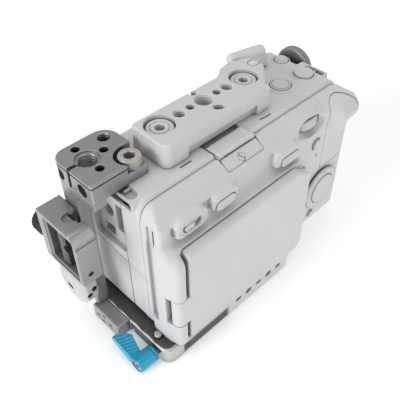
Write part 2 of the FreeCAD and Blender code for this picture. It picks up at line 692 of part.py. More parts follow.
# stepped flange that carries the captive screw
cut(b, "z", 105.6, S["block_top"] + 0.1, rect(-58.6, -10.3, -45.9, -4.1))
cut(b, "z", 105.6, S["block_top"] + 0.1, rect(-52.8, -10.4, -45.8, 3.6))
cut(b, "z", 105.6, S["block_top"] + 0.1, circle(-52.8, -4.1, 7.5))
cut(b, "z", S["block_bottom"] - 0.1, S["block_top"] + 0.1, circle(BLX, BLY, 4.85),
    circle(-53.2, 14.8, 3.15), circle(-52.8, -4.1, 3.1))
cut(b, "z", S["block_top"] - 1.2, S["block_top"] + 0.1, circle(BLX, BLY, 6.2))
cut(b, "z", S["block_top"] - 6.0, S["block_top"] + 0.1,
    circle(BLX, BLY + 9.5, 2.25), circle(BLX, BLY - 9.5, 2.25),
    circle(BLX + 9.5, BLY, 2.25))
cut(b, "z", S["block_bottom"] - 0.1, S["block_top"] + 0.1,
    rect(S["block_left"] - 0.1, 6.2, -72.2, 7.8))
cut(b, "x", S["block_left"] - 0.1, -75.0, circle(15.0, 103.9, 3.3),
    circle(-2.4, 103.9, 3.3))
dress(b, "Chamfer", 0.7, flat_at("z", 111.0), must=False)
cs = fuse([cyl("z", -52.8, -4.1, 105.6, 110.6, 5.8),
           cyl("z", -52.8, -4.1, S["block_bottom"] - 2.8, 105.7, 3.0)])
hexa = doc.addObject("Part::Prism", tag("hex"))
hexa.Polygon = 6
hexa.Circumradius = 2.9
hexa.Height = 4.0
place(hexa, (-52.8, -4.1, 107.0))
minus(cs, hexa, "captive_screw")

# ---------------------------------------------------------------- side plate
b = new_body("side_plate")
PX0, PX1 = S["block_left"], S["block_left"] + S["plate_thick"]
pad(b, "x", PX0, PX1, poly([(S["plate_rear"], 11.0), (S["plate_rear"], 93.0),
                            (2.0, 96.0), (S["block_rear"], 96.0),
                            (S["block_rear"], 100.0),
                            (S["plate_front"], 100.0), (S["plate_front"], 30.0),
                            (8.0, 11.0)]))
dress(b, "Chamfer", 0.6, along("z", y=(4.9, 5.1)), must=False)
group([cyl("x", 15.0, 103.9, -78.0, -75.0, 3.0),
       cyl("x", -2.4, 103.9, -78.0, -75.0, 3.0),
       cyl("x", 10.5, 48.0, PX0 - 1.4, PX0, 2.2)], "side_screws")

# ---------------------------------------------------------------- cable clamp
b = new_body("clamp_frame")
CX0, CY0, CY1 = S["clamp_left"], S["clamp_rear"], S["clamp_front"]
pad(b, "x", CX0, S["block_left"], poly([(CY0, S["clamp_low"]), (CY0, 82.5),
                                        (CY0 + 4.0, S["clamp_high"]),
                                        (CY1, S["clamp_high"]), (CY1, S["clamp_low"])]))
cut(b, "x", CX0 - 0.1, S["block_left"] + 0.1, rect(-7.4, 57.0, 14.5, 83.6))
cut(b, "z", 83.5, S["clamp_high"] + 0.1, rect(-84.5, -2.0, -79.4, 8.0))
cut(b, "y", 14.4, CY1 + 0.1, circle(-86.5, 70.5, S["clamp_screw_radius"] + 0.05))
# the rear wall is slimmer than the side that meets the plate
cut(b, "z", S["clamp_low"] - 0.1, S["clamp_high"] + 0.1, rect(-81.6, CY0 - 0.1, -79.4, 4.4))
dress(b, "Chamfer", 0.6, flat_at("x", -93.6), must=False)
jaw = minus(box(-91.6, 2.0, 58.0, -81.8, 8.0, 82.6),
            cyl("x", 2.0, 70.0, -92.0, -81.0, 2.6), "clamp_jaw")
fuse([cyl("y", -86.5, 70.5, 8.1, CY1 + 2.0, S["clamp_screw_radius"]),
      cyl("y", -86.5, 70.5, CY1 + 0.6, CY1 + 0.6 + S["knob_height"], S["knob_radius"])],
     "clamp_knob")

# ---------------------------------------------------------------- lower bracket
b = new_body("lower_bracket")
pad(b, "x", -87.6, S["block_left"], circle(S["lobe_y"], S["lobe_z"], S["lobe_radius"]),
    )
pad(b, "x", -87.6, S["block_left"], rect(2.0, 24.0, S["lobe_y"], 41.6))
cut(b, "x", -87.7, -83.0, rect(15.0, 22.6, 20.5, 25.4))
cut(b, "y", 0.0, 7.0, circle(-85.2, 28.4, 1.5), circle(-82.0, 31.2, 1.5))
dress(b, "Fillet", 1.2, flat_at("x", -87.6), must=False)
b = new_body("lower_block")
pad(b, "x", -82.0, S["base_left"], rect(-15.0, 0.6, 8.0, 11.0))
dress(b, "Fillet", 1.0, flat_at("x", -82.0), must=False)
cut(b, "x", -82.1, -79.8, *[circle(y, z, 1.25) for y, z in
                            ((3.4, 5.0), (-2.2, 8.2), (-0.4, 2.6), (-7.5, 5.0))])
group([cyl("x", y, z, -81.6, -79.8, 1.15) for y, z in
       ((3.4, 5.0), (-2.2, 8.2), (-0.4, 2.6), (-7.5, 5.0))], "lower_block_screws")

# ---------------------------------------------------------------- base plate
b = new_body("base_plate")
pad(b, "z", 0, S["base_floor"], rect(S["base_left"], S["base_rear"], S["base_right"],
                                     S["base_front"]))
pad(b, "z", S["base_floor"], S["base_top"], rect(S["base_left"], S["base_rear"], -27.0,
                                                 S["base_front"]))
# the floor stops short of the pale plate's rear edge and right corner
cut(b, "z", -0.1, S["base_floor"] + 0.1,
    poly([(-27.0, -47.1), (46.1, -47.1), (46.1, -36.0), (38.0, -38.0), (32.5, -42.0),
          (-27.0, -42.0)]))
dress(b, "Fillet", 6.0, along("z", x=(-75, -73)), must=False)
dress(b, "Fillet", 5.0, along("z", x=(45, 47)), must=False)
cut(b, "z", -0.1, S["base_floor"] + 0.1, circle(0, 0, S["tripod_radius"]),
    circle(20.0, 0, 3.0), circle(-20.0, 0, 3.0))
cut(b, "x", S["base_left"] - 0.1, -60.0, rect(-41.9, -0.1, -15.2, 9.6))
cut(b, "x", -60.1, -50.0, circle(S["lever_y"], S["lever_z"], 2.55))
dress(b, "Chamfer", 0.8, flat_at("z", 11.0), must=False)
b = new_body("camera_plate")
pad(b, "z", S["base_floor"], S["base_top"], rect(-26.7, S["base_rear"], S["base_right"],
                                                 S["base_front"]))
pad(b, "z", 0.6, S["base_floor"] + 0.5,
    poly([(-26.7, S["base_rear"]), (24.0, S["base_rear"]), (32.0, -42.2), (-26.7, -42.2)]))
cut(b, "z", 0.5, S["base_top"] + 0.1,
    poly([(24.0, -47.1), (46.1, -47.1), (46.1, -36.0), (38.0, -38.5), (30.0, -43.5)]))
dress(b, "Fillet", 5.0, along("z", x=(45, 47)), must=False)
cut(b, "z", S["base_floor"] - 0.1, S["base_top"] + 0.1,
    circle(0, 0, S["tripod_radius"]), circle(20.0, 0, 3.0))
cut(b, "y", S["base_rear"] - 0.1, -42.0,
    circle(-18.6, 7.6, 1.4), circle(-9.8, 7.6, 2.0), circle(-1.0, 7.6, 1.4),
    circle(7.8, 7.6, 2.0), circle(16.7, 7.6, 1.4))
dress(b, "Chamfer", 0.6, flat_at("z", 11.0), must=False)
fuse([cyl("z", 20.0, 0, 0.6, 13.8, 2.9), cyl("z", 20.0, 0, 0.4, 1.6, 2.9)],
     "camera_screw")
cyl("z", -69.2, -34.0, S["base_top"], S["base_top"] + 2.0, 2.2, "locating_pin")

# ---------------------------------------------------------------- lever
LY, LZ = S["lever_y"], S["lever_z"]
b = new_body("release_lever")
pad(b, "x", -87.6, -75.0, circle(LY, LZ, S["lever_hub"]))
pad(b, "x", -87.6, -75.0, poly([(LY, 2.0), (LY, 8.6), (-31.0, 7.4), (-24.0, 8.6),
                                (-17.5, 10.2), (-16.0, 9.0), (-17.0, 7.2),
                                (-24.0, 4.4), (-31.0, 2.0)]))
# thumb pad narrows away from the hub
cut(b, "z", -0.5, 12.0, poly([(-84.6, -15.0), (-74.8, -15.0), (-74.8, -32.4),
                              (-80.4, -32.4), (-77.6, -21.5)]))
cut(b, "x", -87.7, -74.9, circle(LY, LZ, 2.5))
cut(b, "x", -87.7, -86.2, circle(LY, LZ, 3.4))
dress(b, "Fillet", 1.0, flat_at("x", -87.6, y=(-33, -15)), must=False)
fuse([cyl("x", LY, LZ, -87.0, -50.6, 2.45), cyl("x", LY, LZ, -87.2, -86.3, 3.3)],
     "lever_shaft")
box(-73.6, -34.0, 1.6, -60.6, -18.0, 8.4, "lock_jaw")

# ---------------------------------------------------------------- side knob
kn = cyl("x", S["side_knob_y"], S["side_knob_z"], S["side_knob_x"],
         S["side_knob_x"] + S["side_knob_width"], S["side_knob_radius"])
minus(kn, cyl("x", S["side_knob_y"], S["side_knob_z"], 86.0, 96.0, 2.55), "side_knob")
cyl("x", S["side_knob_y"], S["side_knob_z"], R_ - 8.0, S["side_knob_x"] + 4.0, 2.5,
    "side_stud")

# ---------------------------------------------------------------- check and write
doc.recompute()
bad = [(o.Name, o.Label, list(o.State)) for o in doc.Objects
       if "Invalid" in o.State or "Error" in o.State]
for name, obj in nodes:
    sh = obj.Shape
    if sh.isNull() or not sh.isValid() or sh.Volume <= 0:
        bad.append((name, "shape"))
if bad:
    raise RuntimeError("failed objects: %s" % bad)
os.makedirs("parts", exist_ok=True)
seen = set()
for name, obj in nodes:
    if name in seen:
        raise RuntimeError("two pieces are called " + name)
    seen.add(name)
    obj.Shape.exportStep("parts/%s.step" % name)
print(len(nodes), "pieces written")
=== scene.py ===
import bpy
import bmesh
import json
import math
import time
import numpy as np
from concurrent.futures import ThreadPoolExecutor
from mathutils import Matrix, Vector


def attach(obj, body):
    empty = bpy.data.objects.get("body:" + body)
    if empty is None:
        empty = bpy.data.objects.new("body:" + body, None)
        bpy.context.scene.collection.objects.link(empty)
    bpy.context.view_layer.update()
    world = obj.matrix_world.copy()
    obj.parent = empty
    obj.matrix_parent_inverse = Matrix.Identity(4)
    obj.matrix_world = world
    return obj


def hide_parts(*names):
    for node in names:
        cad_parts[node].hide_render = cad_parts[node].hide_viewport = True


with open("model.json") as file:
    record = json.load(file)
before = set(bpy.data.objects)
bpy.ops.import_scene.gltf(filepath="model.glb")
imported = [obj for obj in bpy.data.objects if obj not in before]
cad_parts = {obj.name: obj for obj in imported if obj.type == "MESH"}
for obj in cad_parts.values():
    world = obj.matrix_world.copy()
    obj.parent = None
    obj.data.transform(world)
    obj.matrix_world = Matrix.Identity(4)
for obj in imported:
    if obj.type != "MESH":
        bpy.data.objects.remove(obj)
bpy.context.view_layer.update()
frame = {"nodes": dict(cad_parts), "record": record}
NODES = frame["nodes"]
scene = bpy.context.scene
scene.view_settings.view_transform = "Standard"

# ------------------------------------------------------------ camera and stage
cam_data = bpy.data.cameras.new("camera")
cam_data.sensor_width = 36.0
cam_data.lens = 36.0 * 563.2 / 400.0
cam_data.clip_start = 0.01
cam = bpy.data.objects.new("camera", cam_data)
scene.collection.objects.link(cam)
right = Vector((0.7120, -0.7021, -0.0083))
up = Vector((0.4915, 0.4899, 0.7200))
back = Vector((-0.5015, -0.5167, 0.6939))
back = right.cross(up).normalized() if right.cross(up).dot(back) > 0 else back
up = back.cross(right).normalized()
right.normalize()
cam.matrix_world = Matrix(((right.x, up.x, back.x, -0.17039),
                           (right.y, up.y, back.y, -0.17208),
                           (right.z, up.z, back.z, 0.27606),
                           (0, 0, 0, 1)))
scene.camera = cam


def area_light(name, loc, target, size, power, colour=(1, 1, 1)):
    d = bpy.data.lights.new(name, "AREA")
    d.shape = "DISK"
    d.size = size
    d.energy = power
    d.color = colour
    o = bpy.data.objects.new(name, d)
    o.location = loc
    o.rotation_euler = (Vector(target) - Vector(loc)).to_track_quat("-Z", "Y").to_euler()
    scene.collection.objects.link(o)


area_light("key", (-1.05, 0.10, 0.50), (0, 0, 0.05), 0.60, 5.6)
area_light("top", (0.10, 0.15, 1.30), (0, 0, 0.05), 1.10, 3.4)
area_light("rear_fill", (0.15, -1.10, 0.55), (0, 0, 0.05), 0.90, 2.3)
area_light("right_fill", (1.10, 0.30, 0.50), (0, 0, 0.05), 0.90, 1.0)
world = bpy.data.worlds.new("studio")
scene.world = world
world.use_nodes = True
bg = world.node_tree.nodes["Background"]
bg.inputs[0].default_value = (1, 1, 1, 1)
bg.inputs[1].default_value = 0.42
# ------------------------------------------------------------ distance fields
# All fields work in millimetres in the object's own frame.  A field takes
# broadcastable x, y, z arrays and returns the signed distance to the surface.


def rbox(x, y, z, a, b, r=0.5):
    cx, cy, cz = [(p + q) / 2 for p, q in zip(a, b)]
    hx, hy, hz = [(q - p) / 2 - r for p, q in zip(a, b)]
    qx, qy, qz = abs(x - cx) - hx, abs(y - cy) - hy, abs(z - cz) - hz
    o = np.sqrt(np.maximum(qx, 0) ** 2 + np.maximum(qy, 0) ** 2 + np.maximum(qz, 0) ** 2)
    return o + np.minimum(np.maximum(np.maximum(qx, qy), qz), 0) - r


def rect2(u, v, a, b, c, d, r=0.5):
    qu, qv = abs(u - (a + c) / 2) - (c - a) / 2 + r, abs(v - (b + d) / 2) - (d - b) / 2 + r
    return (np.sqrt(np.maximum(qu, 0) ** 2 + np.maximum(qv, 0) ** 2)
            + np.minimum(np.maximum(qu, qv), 0) - r)


def disc2(u, v, cu, cv, r):
    return np.hypot(u - cu, v - cv) - r


def pill2(u, v, u0, v0, u1, v1, r):
    du, dv = u1 - u0, v1 - v0
    t = np.clip(((u - u0) * du + (v - v0) * dv) / (du * du + dv * dv), 0, 1)
    return np.hypot(u - u0 - t * du, v - v0 - t * dv) - r


def poly2(u, v, pts, r=0.0):
    """Signed distance to a closed polygon, grown by r (which rounds its corners)."""
    d = None
    s = None
    n = len(pts)
    for i in range(n):
        (x0, y0), (x1, y1) = pts[i], pts[(i + 1) % n]
        ex, ey = x1 - x0, y1 - y0
        wx, wy = u - x0, v - y0
        t = np.clip((wx * ex + wy * ey) / (ex * ex + ey * ey), 0, 1)
        dd = (wx - t * ex) ** 2 + (wy - t * ey) ** 2
        d = dd if d is None else np.minimum(d, dd)
        c1 = v >= y0
        c2 = v < y1
        c3 = ex * wy > ey * wx
        flip = (c1 & c2 & c3) | (~c1 & ~c2 & ~c3)
        s = flip if s is None else s ^ flip
    return np.where(s, -1.0, 1.0) * np.sqrt(d) - r


def extr(d2, w, lo, hi, r=0.0):
    """Extrudes a flat field along w, with its two rims rounded by r."""
    q1 = d2 + r
    q2 = abs(w - (lo + hi) / 2) - (hi - lo) / 2 + r
    return (np.minimum(np.maximum(q1, q2), 0)
            + np.sqrt(np.maximum(q1, 0) ** 2 + np.maximum(q2, 0) ** 2) - r)


def smin(a, b, k=0.0):
    if k <= 0:
        return np.minimum(a, b)
    q = np.maximum(k - abs(a - b), 0) / k
    return np.minimum(a, b) - q * q * k * 0.25


def smax(a, b, k=0.0):
    return -smin(-a, -b, k)


def union(*f, k=0.0):
    out = f[0]
    for g in f[1:]:
        out = smin(out, g, k)
    return out


def less(a, b, k=0.0):
    """a with b taken away."""
    return smax(a, -b, k)


def groove(body, sheet, width, depth):
    """Cuts a fine line, width wide and depth deep, where the sheet field is
    zero on the surface of body."""
    line = abs(sheet) - width / 2
    return smax(body, -smax(line, -(body + depth), 0.15), 0.25)


# ------------------------------------------------------------ surface of a field
def surface(f, lo, hi, h, block=16):
    """Dual mesh of the zero level of f inside the box lo..hi, step h."""
    lo = np.array(lo, float) - 2.5 * h
    hi = np.array(hi, float) + 2.5 * h
    n = [int(math.ceil((b - a) / h / block)) * block + 1 for a, b in zip(lo, hi)]
    ax = [lo[i] + h * np.arange(n[i]) for i in range(3)]
    half = block * h / 2
    c = [lo[i] + h * block * (np.arange((n[i] - 1) // block) + 0.5) for i in range(3)]
    coarse = f(c[0][:, None, None], c[1][None, :, None], c[2][None, None, :])
    coarse = np.broadcast_to(coarse, [len(q) for q in c])
    F = np.empty(n, np.float32)
    F[:] = 1.0
    reach = half * 1.7321 * 1.15 + h
    for i, j, k in np.argwhere(coarse <= -reach):
        F[i * block:(i + 1) * block + 1, j * block:(j + 1) * block + 1,
          k * block:(k + 1) * block + 1] = -1.0

    def fill(ijk):
        sx, sy, sz = [slice(q * block, (q + 1) * block + 1) for q in ijk]
        return (sx, sy, sz), f(ax[0][sx][:, None, None], ax[1][sy][None, :, None],
                               ax[2][sz][None, None, :])

    with ThreadPoolExecutor(4) as crew:
        for where, values in crew.map(fill, [tuple(q) for q in
                                             np.argwhere(abs(coarse) < reach)]):
            F[where] = values
    F[F == 0] = 1e-6
    S = F < 0
    cells = np.array(n) - 1
    ids, pos, quads = [], [], []
    for a in range(3):
        e = np.zeros(3, int)
        e[a] = 1
        s0 = [slice(None)] * 3
        s1 = [slice(None)] * 3
        s0[a] = slice(0, -1)
        s1[a] = slice(1, None)
        idx = np.argwhere(S[tuple(s0)] ^ S[tuple(s1)])
        b, g = (a + 1) % 3, (a + 2) % 3
        ok = ((idx[:, b] > 0) & (idx[:, g] > 0) & (idx[:, b] < cells[b])
              & (idx[:, g] < cells[g]))
        idx = idx[ok]
        f0 = F[tuple(idx.T)]
        f1 = F[tuple((idx + e).T)]
        t = (f0 / (f0 - f1)).astype(float)
        P = idx + t[:, None] * e
        corner = []
        for db, dg in ((0, 0), (1, 0), (1, 1), (0, 1)):
            cell = idx.copy()
            cell[:, b] -= db
            cell[:, g] -= dg
            cid = (cell[:, 0] * cells[1] + cell[:, 1]) * cells[2] + cell[:, 2]
            corner.append(cid)
            ids.append(cid)
            pos.append(P)
        q = np.stack(corner, 1)
        flip = f0 > 0
        q[flip] = q[flip][:, ::-1]
        quads.append(q)
    ids = np.concatenate(ids)
    pos = np.concatenate(pos)
    quads = np.concatenate(quads)
    uniq, inv = np.unique(ids, return_inverse=True)
    cnt = np.bincount(inv)
    V = np.stack([np.bincount(inv, pos[:, i]) / cnt for i in range(3)], 1)
    V = lo + h * V
    Q = np.searchsorted(uniq, quads)
    return V, Q


def slope(f, V, e=0.02):
    x, y, z = V.T
    return np.stack([f(x + e, y, z) - f(x - e, y, z), f(x, y + e, z) - f(x, y - e, z),
                     f(x, y, z + e) - f(x, y, z - e)], 1) / (2 * e)


def settle(f, V, most, times=2):
    """Moves points along the slope of f onto its zero surface."""
    for _ in range(times):
        g = slope(f, V)
        gg = np.maximum((g * g).sum(1), 0.25)
        move = (f(*V.T) / gg)[:, None] * g
        far = np.linalg.norm(move, axis=1, keepdims=True)
        V = V - move * np.minimum(1.0, most / np.maximum(far, 1e-9))
    return V


def at(f, x, y, z, lo, hi, change):
    """change(f, x, y, z), worked out only inside the box lo..hi."""
    if x.ndim == 3:
        for c, a, b in zip((x, y, z), lo, hi):
            if c.flat[-1] < a - 0.5 or c.flat[0] > b + 0.5:
                return f
        return change(f, x, y, z)
    m = ((x > lo[0]) & (x < hi[0]) & (y > lo[1]) & (y < hi[1])
         & (z > lo[2]) & (z < hi[2]))
    if m.any():
        f = np.array(f)
        f[m] = change(f[m], x[m], y[m], z[m])
    return f


def solid(name, f, lo, hi, h=0.5, faces=30000):
    """Mesh of the zero surface of f: dense grid, thinned out where it is flat,
    then settled on the surface again, with the surface's own normals."""
    V, Q = surface(f, lo, hi, h)
    me = bpy.data.meshes.new(name)
    me.vertices.add(len(V))
    me.vertices.foreach_set("co", V.astype(np.float32).ravel())
    me.loops.add(Q.size)
    me.loops.foreach_set("vertex_index", Q.astype(np.int32).ravel())
    me.polygons.add(len(Q))
    me.polygons.foreach_set("loop_start", np.arange(0, Q.size, 4, dtype=np.int32))
    me.update(calc_edges=True)
    me.validate()
    ob = bpy.data.objects.new(name, me)
    bpy.context.scene.collection.objects.link(ob)
    if faces and 2 * len(Q) > faces:
        mod = ob.modifiers.new("thin", "DECIMATE")
        mod.ratio = faces / (2.0 * len(Q))
        bpy.context.view_layer.update()
        dense = me
        me = bpy.data.meshes.new_from_object(
            ob.evaluated_get(bpy.context.evaluated_depsgraph_get()))
        ob.modifiers.clear()
        ob.data = me
        bpy.data.meshes.remove(dense)
    V = np.empty(len(me.vertices) * 3, np.float32)
    me.vertices.foreach_get("co", V)
    V = settle(f, V.reshape(-1, 3).astype(float), 0.5 * h)
    g = slope(f, V)
    g /= np.maximum(np.linalg.norm(g, axis=1, keepdims=True), 1e-9)
    me.vertices.foreach_set("co", (V * 0.001).astype(np.float32).ravel())
    me.name = name
    me.polygons.foreach_set("use_smooth", np.ones(len(me.polygons), bool))
    me.update()
    me.normals_split_custom_set_from_vertices(g.astype(np.float32).tolist())
    return ob

# ------------------------------------------------------------ materials
def new_mat(name):
    m = bpy.data.materials.new(name)
    m.use_nodes = True
    nt = m.node_tree
    b = nt.nodes["Principled BSDF"]
    return m, nt, b


def link(nt, a, b):
    nt.links.new(a, b)


def coords(nt):
    return nt.nodes.new("ShaderNodeTexCoord").outputs["Object"]


def noise(nt, vec, scale, detail=3.0, rough=0.55):
    n = nt.nodes.new("ShaderNodeTexNoise")
    n.inputs["Scale"].default_value = scale
    n.inputs["Detail"].default_value = detail
    n.inputs["Roughness"].default_value = rough
    link(nt, vec, n.inputs["Vector"])
    return n.outputs["Fac"]


def ramp(nt, fac, stops):
    r = nt.nodes.new("ShaderNodeValToRGB")
    while len(r.color_ramp.elements) > len(stops):
        r.color_ramp.elements.remove(r.color_ramp.elements[-1])
    while len(r.color_ramp.elements) < len(stops):
        r.color_ramp.elements.new(0.5)
    for e, (p, c) in zip(r.color_ramp.elements, stops):
        e.position = p
        e.color = (c, c, c, 1) if not isinstance(c, tuple) else (*c, 1)
    link(nt, fac, r.inputs["Fac"])
    return r.outputs["Color"]


def bump(nt, height, strength, distance, normal=None):
    b = nt.nodes.new("ShaderNodeBump")
    b.inputs["Strength"].default_value = strength
    b.inputs["Distance"].default_value = distance
    link(nt, height, b.inputs["Height"])
    if normal is not None:
        link(nt, normal, b.inputs["Normal"])
    return b.outputs["Normal"]


def wear(nt, base, edge, amount=0.5, radius=0.0006):
    """Lightens convex edges a little, broken up by noise."""
    g = nt.nodes.new("ShaderNodeNewGeometry")
    n = noise(nt, coords(nt), 420.0, 4.0)
    r = ramp(nt, g.outputs["Pointiness"], [(0.50, 0.0), (0.58, 1.0)])
    m = nt.nodes.new("ShaderNodeMath")
    m.operation = "MULTIPLY"
    link(nt, r, m.inputs[0])
    link(nt, n, m.inputs[1])
    m2 = nt.nodes.new("ShaderNodeMath")
    m2.operation = "MULTIPLY"
    m2.inputs[1].default_value = amount
    link(nt, m.outputs[0], m2.inputs[0])
    mix = nt.nodes.new("ShaderNodeMix")
    mix.data_type = "RGBA"
    link(nt, m2.outputs[0], mix.inputs["Factor"])
    link(nt, base, mix.inputs["A"])
    mix.inputs["B"].default_value = (*edge, 1)
    return mix.outputs["Result"]


def painted_crevice_shade(nt, col, dist=0.005, low=0.36, mid=0.74):
    """Paints shade into the colour: ambient occlusion darkens narrow gaps, grooves and holes."""
    ao = nt.nodes.new("ShaderNodeAmbientOcclusion")
    ao.samples = 8
    ao.inputs["Distance"].default_value = dist
    mix = nt.nodes.new("ShaderNodeMix")
    mix.data_type = "RGBA"
    mix.blend_type = "MULTIPLY"
    mix.inputs["Factor"].default_value = 1.0
    link(nt, col, mix.inputs["A"])
    link(nt, ramp(nt, ao.outputs["AO"], [(0.12, low), (0.46, mid), (0.86, 1.0)]),
         mix.inputs["B"])
    return mix.outputs["Result"]


def tint(nt, fac, a, b):
    mix = nt.nodes.new("ShaderNodeMix")
    mix.data_type = "RGBA"
    link(nt, fac, mix.inputs["Factor"])
    mix.inputs["A"].default_value = (*a, 1)
    mix.inputs["B"].default_value = (*b, 1)
    return mix.outputs["Result"]


def moulded(name, base, rough=0.55, grain=0.00002, grain_scale=2600.0, wear_to=None):
    """Moulded plastic: a fine pebble grain, a slow tone drift, worn edges."""
    m, nt, b = new_mat(name)
    v = coords(nt)
    slow = noise(nt, v, 28.0, 3.0)
    fine = noise(nt, v, grain_scale, 2.0)
    drift = ramp(nt, slow, [(0.3, 0.0), (0.7, 1.0)])
    dark = tuple(c * 0.955 for c in base)
    col = tint(nt, drift, dark, base)
    if wear_to:
        col = wear(nt, col, wear_to, 0.6)
    # painted shade: ambient occlusion darkens the colour in gaps, grooves and holes
    link(nt, painted_crevice_shade(nt, col), b.inputs["Base Color"])
    link(nt, ramp(nt, noise(nt, v, 180.0, 4.0), [(0.3, rough - 0.05), (0.7, rough + 0.07)]),
         b.inputs["Roughness"])
    vor = nt.nodes.new("ShaderNodeTexVoronoi")
    vor.inputs["Scale"].default_value = grain_scale * 0.55
    link(nt, v, vor.inputs["Vector"])
    add = nt.nodes.new("ShaderNodeMath")
    add.operation = "ADD"
    link(nt, fine, add.inputs[0])
    link(nt, vor.outputs["Distance"], add.inputs[1])
    link(nt, bump(nt, add.outputs[0], 0.35, grain), b.inputs["Normal"])
    b.inputs["Specular IOR Level"].default_value = 0.35
    return m


def anodised(name, base, rough=0.42, metallic=0.75, wear_to=(0.6, 0.6, 0.6)):
    """Bead-blasted, anodised aluminium."""
    m, nt, b = new_mat(name)
    v = coords(nt)
    drift = ramp(nt, noise(nt, v, 45.0, 4.0), [(0.3, 0.0), (0.7, 1.0)])
    col = tint(nt, drift, tuple(c * 0.90 for c in base), base)
    col = wear(nt, col, wear_to, 0.5)
    # painted shade: ambient occlusion darkens the colour in gaps, grooves and holes
    link(nt, painted_crevice_shade(nt, col, 0.008, 0.10, 0.62), b.inputs["Base Color"])
    b.inputs["Metallic"].default_value = metallic
    link(nt, ramp(nt, noise(nt, v, 700.0, 3.0), [(0.3, rough - 0.06), (0.7, rough + 0.08)]),
         b.inputs["Roughness"])
    link(nt, bump(nt, noise(nt, v, 5200.0, 2.0), 0.30, 0.00001), b.inputs["Normal"])
    return m


def turned(name, base, rough=0.28):
    """Machined steel with fine tool lines."""
    m, nt, b = new_mat(name)
    v = coords(nt)
    mp = nt.nodes.new("ShaderNodeMapping")
    mp.inputs["Scale"].default_value = (300.0, 300.0, 9000.0)
    link(nt, v, mp.inputs["Vector"])
    lines = noise(nt, mp.outputs["Vector"], 1.0, 2.0)
    col = tint(nt, ramp(nt, lines, [(0.35, 0.0), (0.65, 1.0)]),
               tuple(c * 0.82 for c in base), base)
    # painted shade: ambient occlusion darkens the colour in gaps, grooves and holes
    link(nt, painted_crevice_shade(nt, wear(nt, col, (0.85, 0.84, 0.80), 0.4), 0.005, 0.3, 0.62),
         b.inputs["Base Color"])
    b.inputs["Metallic"].default_value = 0.55
    link(nt, ramp(nt, lines, [(0.3, rough), (0.7, rough + 0.14)]), b.inputs["Roughness"])
    link(nt, bump(nt, lines, 0.25, 0.000008), b.inputs["Normal"])
    return m


MATS = {
    "camera_clay": moulded("camera_clay", (0.70, 0.705, 0.712), 0.56),
    "camera_trim": moulded("camera_trim", (0.68, 0.685, 0.692), 0.50, 0.000008, 3400.0),
    "rig_grey": anodised("rig_grey", (0.385, 0.39, 0.395), 0.36, 0.60),
    "rig_light": anodised("rig_light", (0.62, 0.625, 0.63), 0.46, 0.35, (0.8, 0.8, 0.8)),
    "rig_dark": anodised("rig_dark", (0.085, 0.088, 0.092), 0.42, 0.5, (0.3, 0.3, 0.3)),
    "knob_black": moulded("knob_black", (0.016, 0.016, 0.017), 0.38, 0.00001, 3000.0,
                          (0.10, 0.10, 0.10)),
    "steel": turned("steel", (0.60, 0.565, 0.53), 0.40),
    "lever_blue": anodised("lever_blue", (0.022, 0.40, 0.62), 0.34, 0.30, (0.42, 0.74, 0.88)),
    "inner_dark": moulded("inner_dark", (0.025, 0.025, 0.026), 0.6),
    "board_green": moulded("board_green", (0.02, 0.12, 0.06), 0.35),
}
gm, gnt, gb = new_mat("glass_dark")
gv = coords(gnt)
link(gnt, tint(gnt, ramp(gnt, noise(gnt, gv, 60.0), [(0.3, 0.0), (0.7, 1.0)]),
               (0.006, 0.008, 0.011), (0.010, 0.012, 0.016)), gb.inputs["Base Color"])
link(gnt, ramp(gnt, noise(gnt, gv, 240.0, 5.0), [(0.35, 0.05), (0.75, 0.13)]),
     gb.inputs["Roughness"])
gb.inputs["Coat Weight"].default_value = 0.6
MATS["glass_dark"] = gm

SLOT_OF = {s["node"]: s["material_slot"] for s in frame["record"]["subparts"]}


def paint(ob, slot_name):
    ob.data.materials.clear()
    ob.data.materials.append(MATS[slot_name])


for node_name, node_ob in NODES.items():
    paint(node_ob, SLOT_OF[node_name])

BODY_OF = {}
for body_name, members in frame["record"]["behaviour"]["bodies"].items():
    for member in members:
        BODY_OF[member] = body_name


def stand_for(ob, *nodes, slot_name=None):
    """ob takes the place of these nodes, rides with them and wears their finish."""
    s = slot_name or SLOT_OF[nodes[0]]
    paint(ob, s)
    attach(ob, BODY_OF[nodes[0]])
    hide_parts(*nodes)
    return ob


def extra(ob, body, slot_name):
    paint(ob, slot_name)
    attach(ob, body)
    return ob
# ------------------------------------------------------------ camera body
def corner_rect(u, v, a, b, c, d, rr):
    """Rectangle a,b to c,d with corner radii anticlockwise from (a, b)."""
    cu, cv = (a + c) / 2, (b + d) / 2
    r = np.where(u < cu, np.where(v < cv, rr[0], rr[3]), np.where(v < cv, rr[1], rr[2]))
    qu, qv = abs(u - cu) - (c - a) / 2 + r, abs(v - cv) - (d - b) / 2 + r
    return (np.sqrt(np.maximum(qu, 0) ** 2 + np.maximum(qv, 0) ** 2)
            + np.minimum(np.maximum(qu, qv), 0) - r)


def ramp01(t, a, b):
    q = np.clip((t - a) / (b - a), 0, 1)
    return q * q * (3 - 2 * q)


def bell(t, w):
    return np.exp(-(t / w) ** 2)


